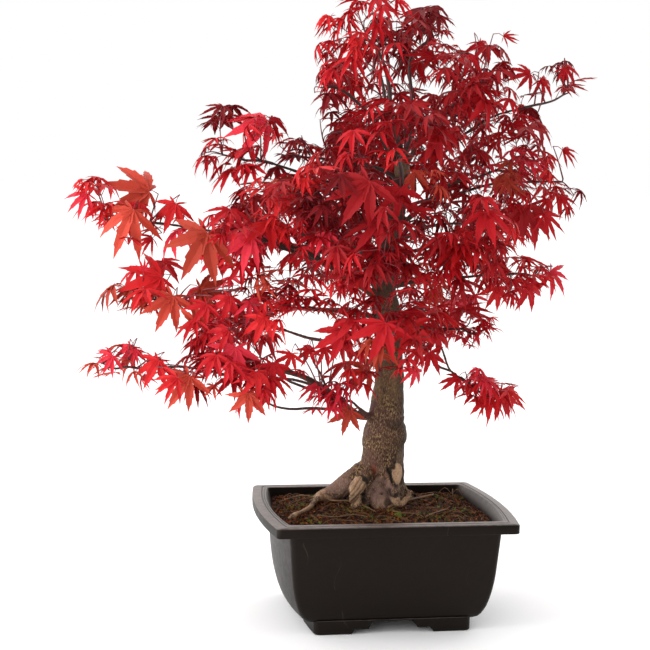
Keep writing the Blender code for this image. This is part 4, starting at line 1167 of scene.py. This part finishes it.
OLD_LEAVES = {  # large leaves in their places: x, y, z and length in mm, the way they point, kind and tone
    "left_tip": (
        (-261, -12, 369, 25, 213, "hanging", "rose"),
        (-210, -8, 372, 46, 166, "old", "brick"),
        (-224, -42, 357, 48, 241, "hanging", "brick"),
        (-188, -20, 362, 29, 244, "grown", "scarlet"),
        (-206, -12, 333, 22, 209, "new", "crimson"),
    ),
    "left_mid": (
        (-166, -70, 340, 46, 237, "old", "russet"),
        (-130, -72, 338, 38, 205, "grown", "rose"),
        (-156, -50, 321, 25, 260, "hanging", "crimson"),
        (-146, -50, 321, 18, 254, "hanging", "scarlet"),
        (-136, -50, 316, 25, 279, "hanging", "crimson"),
        (-122, -40, 318, 23, 287, "hanging", "crimson"),
    ),
    "left_low": (
        (-199, -10, 300, 44, 192, "grown", "scarlet"),
        (-213, -12, 305, 13, 86, "new", "rose"),
        (-189, -20, 284, 35, 244, "old", "brick"),
        (-166, -20, 291, 31, 339, "old", "russet"),
        (-169, -30, 262, 26, 103, "old", "brick"),
        (-144, -52, 287, 26, 255, "grown", "crimson"),
        (-163, -48, 280, 23, 232, "grown", "crimson"),
        (-127, -50, 284, 26, 304, "hanging", "rose"),
        (-117, -52, 271, 27, 247, "grown", "scarlet"),
        (-140, -40, 296, 11, 156, "new", "rose"),
        (-146, -60, 260, 23, 208, "grown", "crimson"),
    ),
    "left_bottom_tip": (
        (-240, -18, 236, 15, 174, "new", "rose"),
        (-239, -18, 235, 21, 234, "hanging", "rose"),
        (-223, -18, 241, 26, 238, "hanging", "rose"),
        (-221, -12, 240, 18, 292, "new", "rose"),
        (-201, -26, 231, 29, 236, "grown", "scarlet"),
        (-176, -36, 219, 34, 236, "old", "brick"),
        (-187, -44, 220, 26, 206, "hanging", "scarlet"),
    ),
    "left_bottom": (
        (-155, -40, 211, 15, 231, "hanging", "brick"),
        (-128, -60, 207, 27, 269, "old", "brick"),
        (-140, -60, 246, 34, 254, "grown", "rose"),
        (-107, -50, 231, 28, 269, "grown", "crimson"),
        (-123, -70, 227, 26, 283, "grown", "scarlet"),
    ),
    "left_bottom_inner": (
        (-33, -20, 214, 19, 266, "new", "rose"),
        (-36, -28, 187, 24, 251, "old", "russet"),
        (-73, -30, 241, 20, 255, "hanging", "crimson"),
        (-61, -30, 243, 22, 291, "hanging", "crimson"),
        (-89, -30, 238, 21, 250, "hanging", "scarlet"),
        (-48, -30, 248, 20, 274, "hanging", "crimson"),
        (-18, -20, 221, 30, 184, "grown", "russet"),
    ),
    "left_inner": (
        (-51, -70, 262, 34, 252, "grown", "crimson"),
        (-44, -74, 272, 26, 221, "grown", "crimson"),
    ),
    "left_high": (
        (-111, -10, 432, 41, 190, "grown", "rose"),
        (-106, 4, 436, 26, 338, "hanging", "crimson"),
    ),
    "front_left": (
        (-45, -125, 385, 42, 238, "old", "deep"),
        (-16, -108, 380, 32, 262, "grown", "crimson"),
    ),
    "front_low": (
        (-25, -110, 272, 37, 247, "grown", "crimson"),
        (-3, -100, 269, 34, 296, "grown", "scarlet"),
    ),
    "right_lower": (
        (41, -20, 255, 28, 287, "grown", "crimson"),
        (19, -34, 225, 22, 266, "hanging", "rose"),
        (25, -22, 240, 26, 259, "hanging", "scarlet"),
        (34, -20, 237, 24, 299, "grown", "crimson"),
    ),
    "right_hanging": (
        (65, -10, 213, 22, 217, "hanging", "crimson"),
        (92, -10, 197, 26, 274, "grown", "scarlet"),
        (104, -10, 200, 31, 297, "grown", "crimson"),
        (80, -10, 208, 17, 255, "new", "crimson"),
    ),
    "right_low": (
        (150, 0, 308, 30, 315, "hanging", "rose"),
        (144, 0, 311, 12, 191, "new", "rose"),
        (95, -20, 295, 24, 277, "grown", "scarlet"),
        (123, -20, 298, 28, 286, "grown", "crimson"),
    ),
    "right_mid": (
        (144, 0, 373, 25, 274, "hanging", "crimson"),
        (156, 0, 375, 27, 327, "new", "crimson"),
        (130, 0, 360, 36, 278, "grown", "crimson"),
        (138, 0, 360, 30, 298, "new", "crimson"),
        (118, 0, 366, 36, 270, "grown", "deep"),
    ),
    "right_tip": (
        (145, 10, 410, 24, 279, "hanging", "crimson"),
        (160, 10, 417, 22, 342, "new", "crimson"),
    ),
    "top_right": (
        (76, 0, 508, 25, 297, "hanging", "crimson"),
        (98, 0, 514, 17, 349, "new", "crimson"),
    ),
    "top_right_tip": (
        (127, 10, 483, 25, 191, "hanging", "crimson"),
        (137, 10, 478, 26, 323, "hanging", "crimson"),
        (158, 10, 490, 25, 350, "hanging", "crimson"),
        (156, 10, 489, 17, 265, "new", "crimson"),
    ),
    "apex_front": ((3, -60, 451, 28, 274, "grown", "crimson"),),
}
SHOOT_REACHES = (0.74, 0.56, 0.86, 0.40, 0.26)  # how far out a shoot ends in its mass, in the order tried
STEPS_FORWARD = (0, 6, 12, 18, 24)  # mm that a large leaf may stand nearer the front to be clear of others
LEAF_TRIES = 7
STALK_LEANS = (25, 75)  # degrees from the shoot
STALK_LONG = (0.35, 0.75)  # against the leaf's middle lobe
LEAF_TURN, LEAF_ROLL = 30, 28  # degrees to either side
LEAF_DROOP = (-10, 50)  # degrees below level
OUTWARD_BIAS = 0.5
TWIG_END = 0.42 * MM  # the radius where the last leaf leaves
box_low, box_high = (Vector(corner) - POT_MIDDLE for corner in cad_box)

coarse_wood = []
for path, radii in runs:
    coarse = tube(path[::3] + [path[-1]], [r + 0.4 * MM for r in radii[::3] + [radii[-1]]], 6)
    coarse_wood.append(BVHTree.FromBMesh(coarse))
    coarse.free()


def in_open_air(points):
    """Whether any of the points would close one of the gaps between the boughs."""
    eye = np.array(CAMERA_AT)
    out = np.asarray(points) - eye
    seen = eye + out * ((TRUNK[4][2] * MM - eye[1]) / out[:, 1])[:, None]
    gaps = np.array(OPEN_AIR) * MM
    off = (seen[:, None, ::2] - gaps[None, :, :2]) / gaps[None, :, 2:]
    return ((off**2).sum(2) < 1).any()


class Mass:
    """The stem, shoots and leaves at the end of one limb, and how they come to their places."""

    def __init__(self, limb):
        self.limb = limb
        self.pick = random.Random("maple " + limb.name)
        self.joints = []  # (point, direction, radius) where a shoot may start
        if limb.name in ("left_tip", "left_low", "left_mid", "left_bottom", "left_bottom_tip"):
            self.place = "left"
        elif limb.name.startswith("front"):
            self.place = "front"
        elif limb.middle.z > HIGH:
            self.place = "high"
        elif limb.middle.z < LOW:
            self.place = "low"
        else:
            self.place = "inner" if limb.reach < INNER_REACH else "outer"

    def holds(self, point, ease=1.0):
        """Whether a point lies in the mass's room, and in the plant's box."""
        if any(p < low + MM or p > high - MM for p, low, high in zip(point, box_low, box_high)):
            return False
        out = point - self.limb.middle
        return sum((a / (b * ease)) ** 2 for a, b in zip(out, self.limb.spread)) <= 1

    def add_stem(self):
        """The stem that goes on from the bough's tip, or from the trunk, into the mass."""
        limb = self.limb
        heading = (limb.path[-1] - limb.path[-2]).normalized()
        beyond = limb.middle + around(limb.degrees, limb.spread.x * 0.35)
        if limb.is_bough:
            start = limb.path[-1] - heading * 2 * MM
            span = (beyond - start).length
            points = bezier(start, start + heading * span * 0.35, beyond - UP * span * 0.12, beyond, 6)
            for i in (2, 3, 4, 5):
                points[i] += Vector([self.pick.uniform(-0.05, 0.05) for _ in range(3)]) * span
            thick = limb.radii[-1] * 0.95
            radii = [thick + (TWIG_THICK * 0.6 - thick) * i / 5 for i in range(6)]
        else:
            points = limb.path + [beyond]
            radii = limb.radii + [TWIG_THICK * 0.6]
        self.add_twig(points, radii, 8)
        for a, b, radius in zip(points, points[1:], radii[1:]):
            if self.holds(b, 1.05):
                self.joints.append((b, (b - a).normalized(), radius))
        self.stem = points

    def clothe_stem(self):
        """Pairs of leaves along a bough's stem, each pair a quarter turn from the last."""
        tone = self.tone()
        for i, (a, b) in enumerate(zip(self.stem, self.stem[1:])):
            if self.limb.is_bough and self.holds(b, 1.05):
                self.add_pair(a.lerp(b, 0.5), b - a, math.pi / 2 * i, tone, False)
                self.add_pair(b, b - a, math.pi / 2 * (i + 1), tone, i > 3)

    def add_old_leaf(self, x, y, z, length, points_to, kind, tone):
        """A large leaf spread flat to the front, at the end of its own twig from the nearest joint.

        Where it would touch something, it stands a little further forward.
        """
        angle = math.radians(points_to)
        main = Vector((math.cos(angle), -0.15, math.sin(angle))).normalized()
        face = Vector((0.05, -0.8, 0.55))
        across = face.cross(main).normalized()
        for forward in STEPS_FORWARD:
            base = Vector((x, y - forward, z)) * MM
            if self.hang(base, main, across, length * MM, kind, tone, in_place=True):
                break
        else:
            return
        joint = min(self.joints, key=lambda joint: (joint[0] - base).length)[0]
        back = base - main * 9 * MM
        span = (back - joint).length
        if span > 4 * MM:
            path = bezier(joint, joint.lerp(back, 0.4) + UP * span * 0.12, back, back, 4)
            self.add_twig(path, [0.8 * MM, 0.65 * MM, 0.5 * MM, 0.45 * MM], 5)
        stalks.append(([back, base - main * 4 * MM + UP * 1.5 * MM, base], [0.45 * MM, 0.36 * MM, 0.36 * MM]))

    def hang(self, centre, main, across, size, kind, tone, in_place=False):
        """Place a leaf if it is in the plant's box, closes no gap, and touches neither wood nor leaf."""
        face = main.cross(across)
        points, faces = self.pick.choice(LEAF_SHAPES[kind])
        placed = points @ (np.array((main, across, face)) * size) + np.array(centre)
        low, high = placed.min(0), placed.max(0)
        if (low < np.array(box_low)).any() or (high > np.array(box_high)).any():
            return False
        star = [centre] + [Vector(placed[j]) for j in STAR[kind]]
        if not in_place and in_open_air(star):
            return False
        proxy = BVHTree.FromPolygons(star, STAR_FACES)
        if any(proxy.overlap(wood_tree) for wood_tree in coarse_wood):
            return False
        for other_centre, other_size, other in leaves_placed:
            if (other_centre - centre).length < size + other_size and proxy.overlap(other):
                return False
        leaves_placed.append((centre, size, proxy))
        drawn[tone].append((placed, faces))
        return True

    def add_pair(self, at, axis, turn, tone, young):
        """Two leaves on opposite sides of a shoot, as maples bear them. Returns how many found room."""
        axis = axis.normalized()
        across = Matrix.Rotation(turn, 3, axis) @ axis.orthogonal().normalized()
        return sum(self.add_leaf(at, axis, side, tone, young) for side in (across, -across))

    def add_twig(self, points, radii, sides):
        path, radii = eased(points, radii, 3)
        twigs.append((path, radii, sides))

    def add_shoot(self, direction):
        """One shoot towards the mass's skin, with pairs of leaves from its middle to its tip."""
        pick = self.pick
        limb = self.limb
        for reach in SHOOT_REACHES:
            end = limb.middle + Vector([d * s * reach for d, s in zip(direction, limb.spread)])
            if not self.holds(end) or in_open_air([end]):
                continue

            def cost(joint):
                away = end - joint[0]
                return away.length * (1.5 - 0.6 * joint[1].dot(away.normalized()))

            start, heading, radius = min(self.joints, key=cost)
            span = (end - start).length
            if span < 8 * MM:
                continue
            bend = start + heading * span * 0.35 + UP * span * 0.10
            path = bezier(start, bend, bend.lerp(end, 0.5) + UP * span * 0.04, end, 5)
            check = tube(path[1:], [0.6 * MM] * 4, 3)
            touched = any(BVHTree.FromBMesh(check).overlap(wood_tree) for wood_tree in coarse_wood)
            check.free()
            if touched:
                continue
            thick = min(radius * 0.75, 0.9 * MM)
            radii = [thick + (TWIG_END - thick) * i / 4 for i in range(5)]
            tone = self.tone()
            turn = pick.uniform(0, math.pi)
            stations = (0.5, 0.75, 1.0) if span > 24 * MM else (0.7, 1.0)
            last = 0
            for k, share in enumerate(stations):
                place = share * 4
                i = min(int(place), 3)
                at = path[i].lerp(path[i + 1], place - i)
                if self.add_pair(at, path[i + 1] - path[i], turn + k * math.pi / 2, tone, share == 1.0):
                    last = math.ceil(place)
            if self.add_leaf(end, (end - path[-2]).normalized(), None, tone, True):
                last = 4
            if not last:
                continue
            self.add_twig(path[: last + 1], radii[: last + 1], 5)
            for i in range(1, min(last, 4)):
                self.joints.append((path[i], (path[i] - path[i - 1]).normalized(), radii[i]))
            return

    def tone(self):
        return self.pick.choices(list(LEAF_TONES), TONES_BY_PLACE[self.place])[0]

    def add_leaf(self, start, axis, side, tone, young):
        """A stalk and the leaf that hangs from it. Returns 1 if there was room."""
        pick = self.pick
        kind = pick.choices(list(LEAF_KINDS), LEAF_ODDS[self.place][young])[0]
        for attempt in range(LEAF_TRIES):
            size = pick.uniform(*LEAF_KINDS[kind]) * MM * (1 - 0.05 * attempt)
            lean = math.radians(pick.uniform(*STALK_LEANS) if side is not None else pick.uniform(0, 20))
            out = side if side is not None else axis.orthogonal().normalized()
            stalk = (axis * math.cos(lean) + out * math.sin(lean) + UP * pick.uniform(0.0, 0.5)).normalized()
            long = size * pick.uniform(*STALK_LONG)
            centre = start + stalk * long
            flat = Vector((stalk.x, stalk.y, 0))
            if flat.length < 0.3:
                flat = around(self.limb.degrees + pick.uniform(-90, 90), 1)
            outward = Vector((centre.x, centre.y - 0.015, 0)).normalized()
            flat = (flat.normalized() + outward * OUTWARD_BIAS).normalized()
            flat = Matrix.Rotation(math.radians(pick.uniform(-LEAF_TURN, LEAF_TURN)), 3, "Z") @ flat
            droop = math.radians(pick.uniform(*LEAF_DROOP))
            main = flat * math.cos(droop) - UP * math.sin(droop)
            roll = Matrix.Rotation(math.radians(pick.uniform(-LEAF_ROLL, LEAF_ROLL)), 3, main)
            across = (roll @ UP).cross(main).normalized()
            tip = centre + main * size - main.cross(across) * size * 0.4
            if not self.holds(centre, 1.08) or not self.holds(tip, 1.22):
                continue
            if not self.hang(centre, main, across, size, kind, tone):
                continue
            middle = start + stalk * long * 0.6 + UP * long * 0.10
            stalks.append(([start, middle, centre], [TWIG_END, 0.32 * MM, 0.34 * MM]))
            return 1
        return 0


def star_of(shape):
    """The points that stand for a leaf's outline: its five long lobes' tips, and the notches beside them."""
    points = shape[0]
    picked = []
    for i, degrees in enumerate((-95, -78, -58, -38, -19, 0, 19, 38, 58, 78, 95)):
        angle = math.radians(degrees)
        heading = np.array((math.cos(angle), math.sin(angle), 0))
        flat = points * (1, 1, 0)
        if i % 2:
            score = flat @ heading - 0.8 * np.abs(np.cross(flat, heading)[:, 2])
        else:
            score = -np.linalg.norm(flat - heading * 0.22, axis=1)
        picked.append(int(score.argmax()))
    return picked


STAR = {kind: star_of(shapes[0]) for kind, shapes in LEAF_SHAPES.items()}
STAR_FACES = [(0, i, i + 1) for i in range(1, 11)]

twigs, stalks, leaves_placed = [], [], []
drawn = {tone: [] for tone in LEAF_TONES}
masses = [Mass(limb) for limb in limbs.values()]
for mass in masses:
    mass.add_stem()
    for row in OLD_LEAVES.get(mass.limb.name, ()):
        mass.add_old_leaf(*row)
for mass in masses:
    limb = mass.limb
    mass.clothe_stem()
    if limb.is_bough and limb.reach > 100:
        for k, share in enumerate(BARE_BOUGH):
            mass.add_pair(limb.at(share), limb.path[-1] - limb.path[-2], k * math.pi / 2, mass.tone(), False)
    for share, rows in OLD_TWIGS.get(limb.name, ()):
        points = [limb.at(share)] + [Vector(row) * MM for row in rows]
        radii = [(1.5 - 0.8 * i / len(rows)) * MM for i in range(len(points))]
        mass.add_twig(points, radii, 8)
        axis = (points[-1] - points[-2]).normalized()
        mass.joints.append((points[-1], axis, radii[-1]))
        tone = mass.tone()
        mass.add_pair(points[-1], axis, 0, tone, False)
        mass.add_pair(points[-2].lerp(points[-1], 0.5), axis, math.pi / 2, tone, False)
    a, _, c = limb.spread
    skin_area = 4 * math.pi * (a * a + 2 * a * c) / 3
    apart = SHOOT_AREA + SHOOT_AREA_OUT * max(0.0, limb.reach - 90) / 100
    if mass.place in ("front", "inner"):
        apart *= DENSER
    count = round(THIN.get(limb.name, 1) * skin_area / (apart + SHOOT_AREA_HIGH * (limb.middle.z > HIGH)))
    turn = mass.pick.uniform(0, math.tau)
    for k in range(count):
        z = 1 - (k + 0.5) * 2 / count
        angle = turn + k * GOLDEN_ANGLE
        flat = math.sqrt(1 - z * z)
        direction = Vector((flat * math.cos(angle), flat * math.sin(angle), z))
        if mass.place != "inner" and (direction.dot(around(limb.degrees, 1)) < -0.4 or z < -0.75):
            continue
        mass.add_shoot(direction)

foliage_nodes = ["foliage_" + name for name in limbs]
for tone, shapes in drawn.items():
    satin, _, _ = new_material("leaf_" + tone + "_living", LEAF_TONES[tone], 0.55, 0.14)
    piece = joined("leaf_" + tone, shapes, satin, smooth=False)
    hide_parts(*foliage_nodes)

# Young maple wood: smooth, wine brown with a dull shine, and redder in the stalks.
shapes = {"twigs": [], "shoots": []}
for path, radii, sides in twigs:
    shapes["twigs" if sides > 5 else "shoots"].append(shape_of(tube(path, radii, sides)))
for name, colour in (("twigs", "#3f211d"), ("shoots", "#6b1b22")):
    piece = joined(name, shapes[name], new_material("maple_" + name + "_living", colour, 0.55)[0])
    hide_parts(*foliage_nodes)

shapes = [shape_of(tube(path, radii, 3)) for path, radii in stalks]
stalk_piece = joined("leaf_stalks", shapes, new_material("maple_leaf_stalk_living", "#8a1626")[0])
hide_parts(*foliage_nodes)
